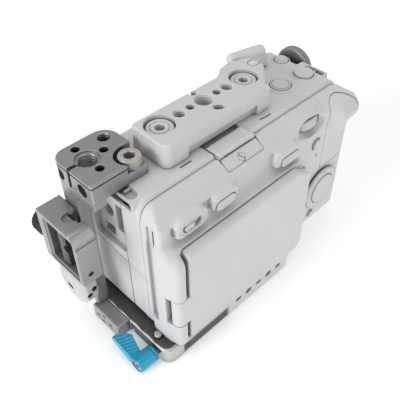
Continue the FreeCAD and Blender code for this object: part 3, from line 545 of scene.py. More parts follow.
def rear_mass(x, y, z):
    rear = extr(corner_rect(x, z, -66, 11, 86, 100, (4, 5, 11, 11)), y, -38, -20, 2.2)
    rear = smax(rear, corner_rect(x, y, -66, -38, 86, 40, (2.6, 6.5, 1, 1)), 0.8)
    # broad bevel, slightly crowned, with the swelling over the thumb wheel
    s = (y + 25.5) * 0.843 + (z - 100.0) * 0.538          # runs down the bevel, negative
    bev = 0.843 * (z - 100.0) - 0.538 * (y + 25.5)
    crown = 0.45 * (1 - ((s + 7.0) / 7.5) ** 2)
    hump = 1.4 * ramp01(x, 30, 43) * (1 - ramp01(x, 57.5, 61)) * bell(s + 6.6, 4.2)
    shoulder = 2.4 * ramp01(x, 58, 84) * bell(s + 8.0, 7.0)
    rear = smax(rear, bev - crown - hump - shoulder, 0.9)
    # recess between the bevel and the screen, the control bosses stand in it
    deep = 1.3 * ramp01(x, -61, -50) * (1 - ramp01(x, 30, 39))
    return less(rear, extr(rect2(x, z, -61.5, 68.0, 39.0, 91.9, 9.0), y, -50, -38.0 + deep), 0.5)


def controls_bosses(f, x, y, z):
    for u0, u1, v, r, top, k in ((-52.8, -42.6, 87.4, 5.8, -40.7, 1.0),
                                 (-29.6, -20.4, 88.0, 4.6, -40.4, 1.1),
                                 (16.6, 27.0, 87.6, 5.1, -40.6, 1.1)):
        boss = smax(smax(pill2(x, z, u0, v, u1, v, r), top - y, 1.6), y + 33, 0)
        f = smin(f, boss, k)
    return f


def top_bosses(f, x, y, z):
    for cx, cy, r, h in ((54.9, -6.6, 8.2, 0.9), (73.3, -8.9, 7.2, 0.9),
                         (76.8, 10.9, 5.5, 0.5)):
        f = smin(f, extr(disc2(x, y, cx, cy, r), z, 97.0, 100.0 + h, 0.5), 0.9)
    return smin(f, rbox(x, y, z, (77.5, -17.5, 94.0), (86.0, 2.0, 99.9), 1.4), 1.0)


def lug_boss(f, x, y, z):
    """Bar of the left strap lug, standing out of the side wall."""
    b = extr(rect2(x, y, -69.2, -21.8, -54.0, -3.0, 3.6), z, 95.2, 99.5, 0.9)
    return smin(f, b, 0.5)


def camera_mass(x, y, z):
    """Outside shape of the camera body, both shells, without its openings."""
    front = extr(corner_rect(x, z, -66, 11, 86, 100, (4, 5, 9, 7)), y, -27, 24, 2.0)
    front = smax(front, corner_rect(x, y, -66, -60, 86, 24, (0, 7, 7, 7)), 0.6)
    out = at(front, x, y, z, (-99, -99, 0), (99, -10, 120),
             lambda f, x, y, z: smin(f, rear_mass(x, y, z), 1.2))
    # soft valley along the top, fading into the side seam
    out = at(out, x, y, z, (-70, -29, 86), (90, -21, 102), lambda f, x, y, z:
             f + 1.6 * ramp01(z, 88, 97) * bell(y + 24.9, 1.3)
             * (1 - ramp01(abs(f), 1.8, 3.6)))
    # ledge that carries the screen, its corner cut away beside the screen's
    out = at(out, x, y, z, (-70, -60, 5), (48, -28, 86), lambda f, x, y, z:
             smin(f, extr(poly2(x, z, [(-64.8, 12.2), (-64.8, 77.6), (32.4, 77.6),
                                       (39.2, 67.4), (39.2, 12.2)], 1.2),
                          y, -42.0, -30, 0.35), 5.0))
    # hinge column

    def column(f, x, y, z):
        c = corner_rect(x, y, -66, -48.5, -58, -30, (4, 4, 1, 1))
        c = smax(c, z - 80.0 + 0.55 * np.maximum(-41.5 - y, 0), 5.5)
        return smin(f, smax(c, 11.0 - z, 0.8), 3.2)
    out = at(out, x, y, z, (-70, -60, 0), (-50, -26, 90), column)
    out = at(out, x, y, z, (-58, -44, 77), (39, -30, 98), controls_bosses)
    out = at(out, x, y, z, (-75, -26, 90), (-50, 2, 104), lug_boss)
    # the roll over the wheel ends in a shallow valley beside the thumb rest
    out = at(out, x, y, z, (46, -50, 82), (66, -22, 103), lambda f, x, y, z:
             f + 0.8 * bell(x - 56.9, 2.4) * ramp01(z, 86, 91) * (1 - ramp01(z, 97, 100.5))
             * ramp01(-y, 27.5, 31))
    return at(out, x, y, z, (44, -21, 90), (90, 20, 105), top_bosses)


def left_openings(f, x, y, z):
    # socket bay, its sockets, and the line along its lower edge
    f = less(f, extr(corner_rect(y, z, -10, 56, 15, 94, (3, 3, 3, 3)), x, -70, -63, 0.0), 0.5)
    f = less(f, extr(disc2(y, z, 5, 76, 4), x, -70, -58), 0.35)
    f = less(f, extr(rect2(y, z, -8.2, 66, -1.4, 84, 1.2), x, -70, -58), 0.35)
    f = less(f, extr(rect2(y, z, 1.6, 58.5, 10.2, 65, 1.2), x, -70, -58), 0.35)
    f = np.where(z < 92, groove(f, y + 10.6, 0.55, 0.55), f)
    line = z - 49.6 - 0.12 * (y + 10)
    f = np.where(y > -27.5, groove(f, line, 0.45, 0.4), f)
    # cooling slots: a shallow channel with a deep slit
    f = less(f, extr(rect2(y, z, -33.6, 22.5, -28.4, 90.5, 1.0), x, -75, -64.4), 0.4)
    f = less(f, extr(rect2(y, z, -33.0, 24, -31.0, 89.5, 0.9), x, -75, -61.6), 0.25)
    # strap lug: a round-ended slot and the channel beside its bar
    return less(f, extr(rect2(x, y, -65.4, -18.6, -59.4, -4.0, 2.95), z, 97.0, 110), 0.5)


def top_openings(f, x, y, z):
    f = less(f, extr(rect2(x, y, 80.5, -16.5, 84.0, -3.2, 1.6), z, 97.2, 110), 0.4)
    f = less(f, extr(rect2(x, y, -16.4, -27.4, 10.4, -10.0, 0.8), z, 97.6, 110), 0.3)
    f = less(f, extr(pill2(x, y, 22.7, -19.8, 29.7, -20.4, 0.5), z, 98.6, 110), 0.2)
    f = less(f, extr(pill2(x, y, -33.5, -18.2, -27.0, -18.2, 0.5), z, 98.6, 110), 0.2)
    for cx, cy, r in ((54.9, -6.6, 6.5), (73.3, -8.9, 5.9), (76.8, 10.9, 4.6)):
        f = less(f, extr(disc2(x, y, cx, cy, r), z, 95, 110), 0.3)
    for cx, cy in ((30.07, 0), (-30.07, 0), (-52.8, -4.1)):
        f = less(f, extr(disc2(x, y, cx, cy, 3.0), z, 95, 110), 0.2)
    return f


def rear_openings(f, x, y, z):
    # dial well, button holes, lamp hole, slot of the slide switch
    f = less(f, extr(disc2(x, z, 63, 37.5, 10.5), y, -50, -34.6), 0.3)
    f = less(f, extr(disc2(x, z, 63, 37.5, 15.4), y, -50, -38.0 + 0.35), 0.3)
    for x0, x1, z0, z1 in ((-31.8, -18.2, 83.1, 88.9), (17.0, 31.3, 81.6, 87.4)):
        r = (z1 - z0) / 2
        f = less(f, extr(pill2(x, z, x0 + r, z0 + r, x1 - r, z1 - r, r + 0.35), y, -50, -34.8),
                 0.3)
    for cx, cz, r in ((52.0, 77.0, 3.65), (43.5, 33.0, 2.6), (58.0, 17.5, 2.6)):
        f = less(f, extr(disc2(x, z, cx, cz, r), y, -50, -34.8), 0.25)
    f = less(f, extr(disc2(x, z, 54.4, 67.3, 0.9), y, -50, -37.2), 0.2)
    f = less(f, extr(rect2(x, z, -53.6, 84.8, -42.0, 90.0, 2.4), y, -50, -37.6), 0.3)
    # finger notch at the screen's cut corner
    return less(f, smax(smax(disc2(x, z, 37.4, 71.4, 2.0), y + 39.9), -y - 60), 0.5)


def hinge_openings(f, x, y, z):
    f = less(f, rbox(x, y, z, (-72, -56, 27.6), (-57.6, -39.8, 48.4), 0.3), 0.3)
    f = less(f, rbox(x, y, z, (-59.4, -56, 11.4), (-57.7, -42.4, 77.2), 0.4), 0.3)
    return less(f, smax(disc2(x, y, -62, -44.5, 1.55), abs(z - 37.5) - 22.6))


def lens_openings(f, x, y, z):
    f = less(f, extr(disc2(x, z, 0, 53, 23), y, 15, 40), 0.3)
    f = less(f, extr(disc2(x, z, -36, 44, 4.3), y, 18, 40), 0.2)
    f = less(f, rbox(x, y, z, (54, 18, 16), (81, 40, 78), 1.0), 0.3)
    return f


def right_openings(f, x, y, z):
    f = less(f, extr(disc2(y, z, 10, 91.5, 2.6), x, 80, 100), 0.2)
    return less(f, rbox(x, y, z, (80, -20, 30), (100, 10, 76), 1.0), 0.3)


def wheel_pocket(f, x, y, z):
    """Slot of the thumb wheel and the eyelid-shaped scoop round its rim."""
    f = less(f, extr(disc2(x, y, 47.5, -25.2, 11.7), z, 89.2, 94.8, 0.8), 0.4)
    lens = np.sqrt(((x - 46.6) / 12.2) ** 2 + ((y + 38.0) / 6.2) ** 2
                   + ((z - 91.0) / 5.3) ** 2) - 1
    return less(f, lens * 5.0, 0.9)


def camera_openings(x, y, z, f):
    """Takes every opening, slot and line out of the body field f."""
    room = smin(rbox(x, y, z, (-59, -35, 14), (83, 21, 91.5), 1.0),
                rbox(x, y, z, (-59, -24.5, 14), (83, 21, 97), 1.0), 0.0)
    # the bay of the thumb wheel keeps its own walls
    room = less(room, rbox(x, y, z, (34.0, -40, 84.2), (61.0, -11.5, 99), 1.0))
    f = less(f, room)
    f = at(f, x, y, z, (-70, -40, 5), (-54, 26, 103), left_openings)
    f = at(f, x, y, z, (-60, -30, 93), (88, 20, 104), top_openings)
    f = at(f, x, y, z, (-60, -60, 10), (90, -33, 98), rear_openings)
    f = at(f, x, y, z, (-75, -60, 5), (-55, -36, 90), hinge_openings)
    f = at(f, x, y, z, (-45, 12, 5), (90, 30, 105), lens_openings)
    f = at(f, x, y, z, (76, -24, 20), (95, 20, 103), right_openings)
    f = at(f, x, y, z, (34, -45, 86), (62, -14, 98), lambda f, x, y, z:
           wheel_pocket(f, x, y, z))
    return at(f, x, y, z, (-70, -50, 5), (90, 30, 15), lambda f, x, y, z:
              groove(less(f, disc2(x, y, 20, 0, 3.0), 0.2),
                     rect2(x, y, -40, -20, 60, 16, 4), 0.6, 0.5))


def thumb_arch(x, z):
    """Outline of the thumb rest, an arch seen from behind."""
    return smax(pill2(x, z, 73.0, 50.0, 73.0, 85.4, 12.6), 54.0 - z, 0.0)


def thumb_swell(f, x, y, z):
    return f - (5.2 * bell(z - 87.6, 6.6) * ramp01(x, 59.5, 72) * ramp01(-y, 33, 37.5))


def camera_body(x, y, z):
    f = camera_mass(x, y, z)
    return at(f, x, y, z, (58, -50, 65), (90, -30, 104), thumb_swell)


def front_field(x, y, z):
    f = camera_openings(x, y, z, camera_body(x, y, z))
    return smax(f, -(y + 24.5) + 0.06, 0.35)


def shoe_panel(g, x, y, z):
    edge = rect2(x, y, -16.2, -33.6, 10.2, -20.0, 1.0)
    g = groove(g, edge, 0.6, 0.55)
    g = groove(g, np.minimum(abs(x + 16.2), abs(x - 10.2)) + 9 * (y < -29.5), 0.5, 0.5)
    r = np.hypot(x + 4.2, (y + 31.0) * 1.18)
    g = groove(g, r - 2.2, 0.45, 0.4)
    return less(g, smax(np.maximum(abs((x + 4.2) * 0.8 + (y + 31.0) * 0.6) - 0.3, r - 1.7),
                        -(g + 0.6)), 0.05)


def rear_field(x, y, z):
    f = camera_body(x, y, z)
    g = camera_openings(x, y, z, f)
    g = smax(g, (y + 24.5) + 0.06, 0.35)
    # flush panel below the shoe and its small slotted screw
    g = at(g, x, y, z, (-19, -38, 89), (13, -25, 102), shoe_panel)
    # seat of the thumb rest
    return smax(g, -smax(smax(thumb_arch(x, z) - 0.22, -(f + 1.6)), y + 30.8), 0.15)


def thumb_field(x, y, z):
    f = camera_body(x, y, z)
    g = smax(thumb_arch(x, z), f, 0.45)
    return smax(smax(g, -(f + 1.4), 0.1), y + 31.0)


front_v = solid("front_shell_v", front_field, (-66.5, -25, 10.5), (87, 24.5, 101.5), 0.5,
                90000)
rear_v = solid("rear_shell_v", rear_field, (-66.5, -49.5, 10.5), (87, -24, 101), 0.45,
               120000)
thumb_v = solid("thumb_rest_v", thumb_field, (58, -47, 53.4), (87, -30, 102), 0.45, 9000)
stand_for(front_v, "front_shell")
stand_for(rear_v, "rear_shell")
stand_for(thumb_v, "thumb_rest")

# ------------------------------------------------------------ shared shapes
def cham(d2, w, lo, hi, c_lo, c_hi):
    """Extrudes a flat field along w with bevelled rims."""
    out = np.maximum(d2, np.maximum(lo - w, w - hi))
    if c_hi:
        out = np.maximum(out, (d2 + w - hi + c_hi) * 0.7071)
    if c_lo:
        out = np.maximum(out, (d2 + lo - w + c_lo) * 0.7071)
    return out


def inset(pts, r):
    """Convex anticlockwise polygon moved in by r."""
    out = []
    n = len(pts)
    for i in range(n):
        (ax, ay), (bx, by), (cx, cy) = pts[i - 1], pts[i], pts[(i + 1) % n]
        u = Vector((bx - ax, by - ay)).normalized()
        v = Vector((cx - bx, cy - by)).normalized()
        p, q = Vector((-u.y, u.x)), Vector((-v.y, v.x))
        m = (p + q) / (1 + p.dot(q))
        out.append((bx + r * m.x, by + r * m.y))
    return out


def soft_poly(u, v, pts, r):
    return poly2(u, v, inset(pts, r), r)


def threaded(x, y, z, cx, cy, r, pitch, depth=0.34):
    """A threaded hole along z: negative inside the hole."""
    turn = np.arctan2(y - cy, x - cx) / (2 * np.pi)
    return np.hypot(x - cx, y - cy) - r + depth * (0.5 - 0.5 * np.cos(2 * np.pi * (z / pitch - turn)))


def hexagon(u, v, cu, cv, flat):
    """Hexagon of half width flat, points along u."""
    a, b = abs(u - cu), abs(v - cv)
    return np.maximum(b, a * 0.8660 + b * 0.5) - flat


def cone(w, w0, d, c):
    """Countersink at the mouth w0 (opening upwards) of a hole field d."""
    return np.maximum(d - np.maximum(w - w0 + c, 0), w - w0 - 3)


# ------------------------------------------------------------ top plate
LOBE = [(12, -16), (28, -16), (34, -12), (40, -6.6), (45.5, -1.6), (49.6, 4.0),
        (48.9, 10.2), (44, 14), (36, 16.6), (28, 15.6), (12, 4)]


def top_plate_field(x, y, z):
    d2 = smin(corner_rect(x, y, -40.6, -16, 34, 10.5, (4.2, 1, 1, 3.2)),
              soft_poly(x, y, LOBE, 2.4), 1.2)
    f = cham(d2, z, 100, 114, 0.4, 1.0)
    under = rbox(x, y, z, (-26, -30, 90), (24, -13.6, 106.3), 1.2)
    under = np.minimum(under, rbox(x, y, z, (-26, 6, 90), (22, 30, 106.5), 1.4))
    f = less(f, under, 0.5)

    def bores(f, x, y, z):
        f = less(f, threaded(x, y, z, 0, 0, 4.95, 1.5875), 0.15)
        f = less(f, disc2(x, y, 0, 0, 5.5) - (z - 114.0), 0.1)
        for s in (-1, 1):
            f = less(f, threaded(x, y, z, 17 * s, 0, 3.2, 1.27, 0.3), 0.15)
            f = less(f, disc2(x, y, 17 * s, 0, 3.6) - (z - 114.0), 0.1)
            f = less(f, smax(disc2(x, y, 9.5 * s, 0, 2.25), 108 - z), 0.3)
            f = less(f, disc2(x, y, 30.07 * s, 0, 3.2), 0.1)
            f = less(f, smax(disc2(x, y, 30.07 * s, 0, 8.1), 108.6 - z), 0.35)
        f = less(f, smax(pill2(x, y, 0, -9.5, 1.4, -10.6, 2.1), 108 - z), 0.3)
        f = less(f, smax(disc2(x, y, 0, 8.3, 2.2), 108 - z), 0.3)
        return f
    f = at(f, x, y, z, (-42, -15, 95), (40, 12, 116), bores)
    # small oval dome on the right lobe
    dome = np.sqrt(((x - 45.2) / 3.4) ** 2 + ((y - 6.0) / 2.5) ** 2 + ((z - 113.2) / 1.5) ** 2) - 1
    ring = abs(pill2(x, y, 44.4, 6, 46.0, 6, 2.8)) - 0.22
    f = less(f, smax(ring, 113.5 - z), 0.12)
    return smin(f, dome * 1.5, 0.3)


tp = solid("top_plate_v", top_plate_field, (-41, -16.5, 99.5), (50, 17.2, 115), 0.36, 60000)
stand_for(tp, "top_plate")


def plate_screw_field(x, y, z):
    f = None
    for cx in (-30.07, 30.07):
        d = disc2(x, y, cx, 0, 7.3)
        s = cham(d, z, 108.6, 112.2, 0.2, 0.5)
        s = less(s, cham(abs(disc2(x, y, cx, 0, 4.9)) - 0.25, z, 111.9, 115, 0, 0), 0.1)
        s = less(s, smax(hexagon(x, y, cx, 0, 2.5), 108.9 - z), 0.12)
        s = less(s, disc2(x, y, cx, 0, 2.9) - (z - 112.2), 0.1)
        s = smin(s, extr(disc2(x, y, cx, 0, 2.9), z, 97.4, 109, 0.3), 0.2)
        f = s if f is None else np.minimum(f, s)
    return f


stand_for(solid("top_plate_screws_v", plate_screw_field, (-38, -8, 97), (38, 8, 113), 0.34,
                16000), "top_plate_screws")

# ------------------------------------------------------------ shoe and its cover


def shoe_field(x, y, z):
    f = extr(rect2(x, y, -16.0, -27.0, 10.0, -17.4, 0.6), z, 98.0, 99.4, 0.2)
    f = less(f, extr(rect2(x, y, -12.6, -27.6, 6.6, -17.8, 0.5), z, 98.9, 102, 0.0), 0.15)
    for cx in (-14.3, 8.3):
        f = less(f, extr(disc2(x, y, cx, -19.2, 0.8), z, 98.8, 102), 0.1)
    return f


stand_for(solid("accessory_shoe_v", shoe_field, (-16.2, -27.2, 97.8), (10.2, -17.2, 99.6),
                0.3, 6000), "accessory_shoe", slot_name="camera_clay")


def cover_field(x, y, z):
    f = extr(rect2(x, y, -15.6, -27.1, 9.6, -17.2, 0.7), z, 99.6, 101.1, 0.35)
    lip = extr(pill2(y, z, -26.2, 100.5, -25.2, 100.7, 0.9), x, -15.4, 9.4, 0.5)
    f = smin(f, lip, 0.8)
    f = less(f, extr(rect2(x, y, -12.4, -24.4, 6.4, -10, 0.5), z, 100.75, 103), 0.3)
    f = less(f, extr(rect2(x, y, -15.2, -17.9, -13.2, -10, 0.3), z, 100.4, 103), 0.15)
    return f


stand_for(solid("shoe_cover_v", cover_field, (-16, -27.6, 99.4), (10, -17, 102), 0.3, 10000),
          "shoe_cover", slot_name="camera_clay")

# ------------------------------------------------------------ ridge on the front of the top


def bump_field(x, y, z):
    ax, ay, az = 43.6, 20.5, 110.1
    bx, by, bz = 62.2, 16.5, 110.1
    dx, dy, dz = bx - ax, by - ay, bz - az
    t = np.clip(((x - ax) * dx + (y - ay) * dy + (z - az) * dz) / (dx * dx + dy * dy + dz * dz),
                0, 1)
    tube = np.sqrt((x - ax - t * dx) ** 2 + (y - ay - t * dy) ** 2
                   + (z - az - t * dz) ** 2) - (3.8 - 0.15 * t)
    # flat left end with a thin rim
    n = ((x - ax) * dx + (y - ay) * dy) / 19.0
    tube = smax(tube, -(n + 2.6), 0.7)
    base = extr(soft_poly(x, y, [(41.2, 17.4), (46, 12.7), (67.6, 12.7), (66.2, 18),
                                 (52, 23.4), (44, 23.4)], 2.0), z, 100, 108.4, 1.6)
    f = smin(tube, base, 0.9)
    f = smax(f, 100 - z, 0.0)
    f = less(f, smax(smax(pill2(x, y, 40.6, 15.6, 43.6, 17.8, 0.8), 105.6 - z), z - 107.4), 0.3)
    return f


stand_for(solid("front_bump_v", bump_field, (38, 10, 99.5), (70, 26, 115), 0.4, 16000),
          "front_bump")

# ------------------------------------------------------------ top buttons


def record_field(x, y, z):
    r = np.hypot(x - 54.9, y + 6.6)
    f = extr(r - 6.15, z, 97.5, 101.35, 0.45)
    f = less(f, smax(abs(r - 5.15) - 0.17, 100.95 - z), 0.1)
    return smin(f, extr(r - 4.9, z, 98, 101.6, 0.3), 0.15)


def shutter_field(x, y, z):
    r = np.hypot(x - 73.3, y + 8.9)
    f = extr(r - 5.55, z, 97.5, 102.5, 0.7)
    return less(f, np.sqrt(r ** 2 + (z - 113.8) ** 2) - 11.9, 0.4)


def small_field(x, y, z):
    r = np.hypot(x - 76.8, y - 10.9)
    f = extr(r - 4.25, z, 97.5, 101.0, 0.6)
    f = smin(f, extr(r - 3.3, z, 98, 102.2, 0.8), 0.25)
    return less(f, np.sqrt(r ** 2 + (z - 106.2) ** 2) - 4.6, 0.3)


for nm, fn, cx, cy, r in (("record_button", record_field, 54.9, -6.6, 6.5),
                          ("shutter_button", shutter_field, 73.3, -8.9, 6.0),
                          ("small_top_button", small_field, 76.8, 10.9, 4.6)):
    stand_for(solid(nm + "_v", fn, (cx - r, cy - r, 97.2), (cx + r, cy + r, 102.8), 0.28, 9000),
              nm)


def lug_field(x, y, z):
    a = smax(pill2(x, z, -62.6, 98.6, -58.4, 98.6, 0.8), abs(y + 11.5) - 0.42, 0.2)
    b = smax(pill2(x, z, 81.2, 98.6, 83.3, 98.6, 0.8), abs(y + 10.0) - 0.42, 0.2)
    return np.minimum(a, b)


stand_for(solid("strap_lug_bars_v", lug_field, (-64, -12.2, 97.4), (84.4, -9.4, 99.6), 0.25,
                4000), "strap_lug_bars")

# ------------------------------------------------------------ rear controls
def housing_field(x, y, z):
    f = extr(pill2(x, z, -53.0, 87.2, -42.6, 87.2, 4.4), y, -41.0, -38.0, 0.8)
    f = less(f, extr(rect2(x, z, -55.6, 84.7, -40.4, 89.7, 2.4), y, -45, -38.9), 0.35)
    # two small detent dimples below the slot
    for cx in (-51.2, -44.4):
        f = less(f, np.sqrt((x - cx) ** 2 + (y + 41.2) ** 2 + (z - 83.7) ** 2) - 0.5, 0.15)
    return f


def slider_field(x, y, z):
    f = extr(rect2(x, z, -52.9, 85.05, -46.3, 89.35, 2.0), y, -41.0, -39.0, 0.4)
    ribs = 0.22 * np.cos((x + 49.4) * 2 * np.pi / 1.5)
    f = np.where((y < -40.2), f - ribs * (abs(x + 49.4) < 2.6), f)
    return smin(f, extr(disc2(x, z, -48.4, 87.6, 1.1), y, -41.7, -40, 0.4), 0.5)


stand_for(solid("switch_housing_v", housing_field, (-58, -41.4, 82), (-37.5, -37.8, 92), 0.32,
                9000), "switch_housing")
stand_for(solid("mode_switch_v", slider_field, (-53.6, -42, 84.4), (-45.2, -38.8, 90), 0.25,
                7000), "mode_switch")


def pill_button(x0, x1, z0, z1, top):
    r = (z1 - z0) / 2

    def f(x, y, z):
        d = pill2(x, z, x0 + r, z0 + r, x1 - r, z1 - r, r - 0.05)
        g = extr(d, y, top, -35.8, 0.8)
        # crowned face
        return smax(g, (top + 0.35 * ((z - (z0 + z1) / 2) / r) ** 2) - y, 0.3)
    return f


for nm, args in (("rear_button_a", (-31.8, -18.2, 83.1, 88.9, -41.3)),
                 ("rear_button_b", (17.0, 31.3, 81.6, 87.4, -41.5))):
    stand_for(solid(nm + "_v", pill_button(*args), (args[0] - 0.3, -42, args[2] - 0.3),
                    (args[1] + 0.3, -35.5, args[3] + 0.3), 0.32, 6000), nm)


def round_button(cx, cz, r, top, dish):
    def f(x, y, z):
        d = np.hypot(x - cx, z - cz)
        g = extr(d - r, y, top, -35.6, 0.45)
        if dish:
            return less(g, np.sqrt(d ** 2 + (y - top + dish) ** 2) - dish - 0.28, 0.25)
        return smax(g, np.sqrt(d ** 2 + (y - top - 12) ** 2) - 12.0, 0.1)
    return f


for nm, cx, cz, r, top, dish in (("rear_button_c", 52.0, 77.0, 3.3, -39.5, 14.0),
                                 ("menu_button", 43.5, 33.0, 2.25, -39.5, 0),
                                 ("play_button", 58.0, 17.5, 2.25, -39.5, 0)):
    stand_for(solid(nm + "_v", round_button(cx, cz, r, top, dish), (cx - r - .3, -40, cz - r - .3),
                    (cx + r + .3, -35.3, cz + r + .3), 0.26, 5000), nm)


def dial_field(x, y, z):
    u, v = x - 63.0, z - 37.5
    r = np.hypot(u, v)
    a = np.arctan2(v, u)
    f = extr(r - 14.7, y, -40.5, -38.35, 1.1)
    # gripping ribs round the rim, a shallow dish, and four small thumb dots
    f = f + 0.12 * np.cos(a * 64) * ramp01(r, 13.6, 14.4)
    f = less(f, smax(abs(r - 12.3) - 1.0, y + 40.2, 0.5), 0.4)
    for k in range(4):
        b = k * np.pi / 2
        f = smin(f, np.sqrt((u - 12.3 * np.cos(b)) ** 2 + (y + 40.2) ** 2
                            + (v - 12.3 * np.sin(b)) ** 2) - 0.5, 0.2)
    f = smin(f, extr(r - 10.3, y, -38.9, -35.6, 0.3), 0.1)
    f = less(f, smax(r - 10.4, y + 38.4, 0.1), 0.2)
    return less(f, r - 8.4, 0.3)


def dial_button_field(x, y, z):
    r = np.hypot(x - 63.0, z - 37.5)
    f = extr(r - 8.05, y, -41.0, -36.0, 0.4)
    f = smin(f, extr(r - 10.0, y, -41.2, -39.5, 0.6), 0.1)
    return less(f, np.sqrt(r ** 2 + (y + 70.9) ** 2) - 30.2, 0.5)


stand_for(solid("rear_dial_v", dial_field, (47.8, -41.6, 22.2), (78.2, -35.4, 52.8), 0.36,
                30000), "rear_dial")
stand_for(solid("dial_button_v", dial_button_field, (52.7, -42.6, 27.2), (73.3, -35.8, 47.8),
                0.34, 10000), "dial_button")


def wheel_field(x, y, z):
    u, v = x - 47.5, y + 25.2
    r = np.hypot(u, v)
    a = np.arctan2(v, u)
    f = extr(r - 11.35 + 0.22 * (1 + np.cos(a * 36)) * (1 - ramp01(abs(z - 92), 1.2, 2.1)),
             z, 89.55, 94.45, 0.9)
    f = less(f, smax(abs(r - 7.4) - 1.2, 94.15 - z), 0.3)
    return less(f, r - 2.05, 0.1)


stand_for(solid("thumb_wheel_v", wheel_field, (35.8, -37.0, 89.2), (59.2, -13.5, 94.8), 0.34,
                22000), "thumb_wheel")

# ------------------------------------------------------------ flip-out screen
PANEL = [(-57.5, 12.0), (35.5, 12.0), (35.5, 71.6), (26.0, 77.5), (-57.5, 77.5)]


def lcd_field(x, y, z):
    d2 = soft_poly(x, z, PANEL, 1.6)
    d2 = smax(d2, corner_rect(x, z, -57.5, 12.0, 35.5, 90, (1, 7, 1, 1)))
    f = smax(extr(d2, y, -48.0, -38.0, 0.75), y + 42.3, 0.3)
    # bevelled rear rim: the top edge leans in
    f = smax(f, (z - 77.5) * 0.83 - (y + 46.2) * 0.56 - 0.9, 0.5)
    f = less(f, rbox(x, y, z, (-51, -43.3, 18), (29, -40, 71.5), 0.5), 0.2)

    def knuckle(f, x, y, z):
        arm = corner_rect(x, y, -62, -48.3, -56.0, -42.4, (0.3, 1.2, 0.3, 0.3))
        arm = np.minimum(arm, disc2(x, y, -62, -44.5, 3.95))
        arm = extr(arm, z, 28.05, 47.95, 0.5)
        f = smin(f, arm, 0.35)
        f = less(f, disc2(x, y, -62, -44.5, 1.55))
        return less(f, rbox(x, y, z, (-58.6, -46.6, 30.0), (-57.5, -40.0, 46.0), 0.3), 0.2)
    f = at(f, x, y, z, (-68, -50, 25), (-53, -38, 51), knuckle)
    # a finger scoop on the free edge
    f = less(f, np.sqrt((x - 37.6) ** 2 + ((y + 42.3) * 1.2) ** 2
                        + (np.maximum(abs(z - 44) - 6, 0)) ** 2) - 3.0, 0.5)
    return f


stand_for(solid("lcd_panel_v", lcd_field, (-66.5, -48.6, 11.5), (36, -42, 78), 0.42, 60000),
          "lcd_panel")

# ------------------------------------------------------------ rig pieces
def block_field(x, y, z):
    d2 = corner_rect(x, y, -79.5, -10.2, -46.0, 21.5, (1.2, 2, 9.0, 7.0))
    low = cham(d2, z, 100.0, 105.6, 0.0, 0.5)
    step = smin(rect2(x, y, -58.6, -30, -30, -4.1, 0.0), rect2(x, y, -52.8, -30, -30, 3.6, 0.0),
                0.5)
    step = smin(step, disc2(x, y, -52.8, -4.1, 7.5), 0.8)
    high = cham(smax(d2, -step, 0.5), z, 101.0, 111.0, 0.0, 0.55)
    f = np.minimum(low, high)
    # step under the top edge on the two outer sides
    f = less(f, smax(abs(z - 109.0) - 0.42, -(d2 + 0.75)), 0.1)

    def bores(f, x, y, z):
        f = less(f, threaded(x, y, z, -68.4, 7.0, 4.95, 1.5875), 0.15)
        f = less(f, smax(disc2(x, y, -68.4, 7.0, 6.2), 109.8 - z), 0.25)
        f = less(f, threaded(x, y, z, -53.2, 14.8, 3.2, 1.27, 0.3), 0.15)
        f = less(f, disc2(x, y, -53.2, 14.8, 3.6) - (z - 111.0), 0.1)
        for cx, cy in ((-68.4, 16.5), (-68.4, -2.5), (-58.9, 7.0)):
            f = less(f, smax(disc2(x, y, cx, cy, 2.25), 105 - z), 0.25)
        f = less(f, disc2(x, y, -52.8, -4.1, 3.1), 0.2)
        f = less(f, rbox(x, y, z, (-85, 5.9, 98), (-72.2, 8.1, 115), 0.05), 0.15)
        for cy in (15.0, -2.4):
            f = less(f, smax(disc2(y, z, cy, 103.9, 3.5), x + 75.2), 0.35)
        return f
    f = at(f, x, y, z, (-82, -9, 97), (-45, 20, 113), bores)
    return f


stand_for(solid("accessory_block_v", block_field, (-80, -10.7, 99.5), (-45.5, 22, 111.5),
                0.36, 40000), "accessory_block")


def captive_field(x, y, z):
    r = np.hypot(x + 52.8, y + 4.1)
    a = np.arctan2(y + 4.1, x + 52.8)
    f = cham(r - 5.75 + 0.07 * np.cos(a * 40) * (z < 109.6), z, 105.6, 110.6, 0.15, 0.5)
    f = less(f, smax(hexagon(x, y, -52.8, -4.1, 2.6), 107.0 - z), 0.12)
    f = less(f, r - 3.0 - (z - 110.6), 0.1)
    f = less(f, smax(-(r - 5.45), abs(z - 106.9) - 0.2), 0.1)
    return smin(f, extr(r - 2.95, z, 97.4, 106, 0.3), 0.2)


stand_for(solid("captive_screw_v", captive_field, (-59, -10.3, 97), (-46.6, 2.1, 111), 0.3,
                12000), "captive_screw")


def plate_field(x, y, z):
    d2 = poly2(y, z, [(5.0, 11.0), (8.0, 11.0), (16.0, 30.0), (16.0, 100.0), (-10.2, 100.0),
                      (-10.2, 96.0), (2.0, 96.0), (5.0, 93.0)], 0.0)
    f = smax(d2, np.maximum(-79.5 - x, x + 72.3), 0.5)
    f = less(f, disc2(y, z, 10.5, 48, 2.3) - 0.0 + 5 * (x > -78.6), 0.1)
    # shallow relief along the plate and a lightening pocket on its inner face
    f = less(f, extr(rect2(y, z, 7.2, 58, 13.6, 90, 2.5), x, -74.0, -70), 0.4)
    f = less(f, extr(disc2(y, z, 10.5, 34, 1.7), x, -90, -70), 0.3)
    f = less(f, extr(disc2(y, z, 9.0, 22, 1.3), x, -90, -70), 0.3)
    return f


stand_for(solid("side_plate_v", plate_field, (-80, -10.6, 10.6), (-71.8, 16.5, 100.2), 0.5,
                12000), "side_plate")


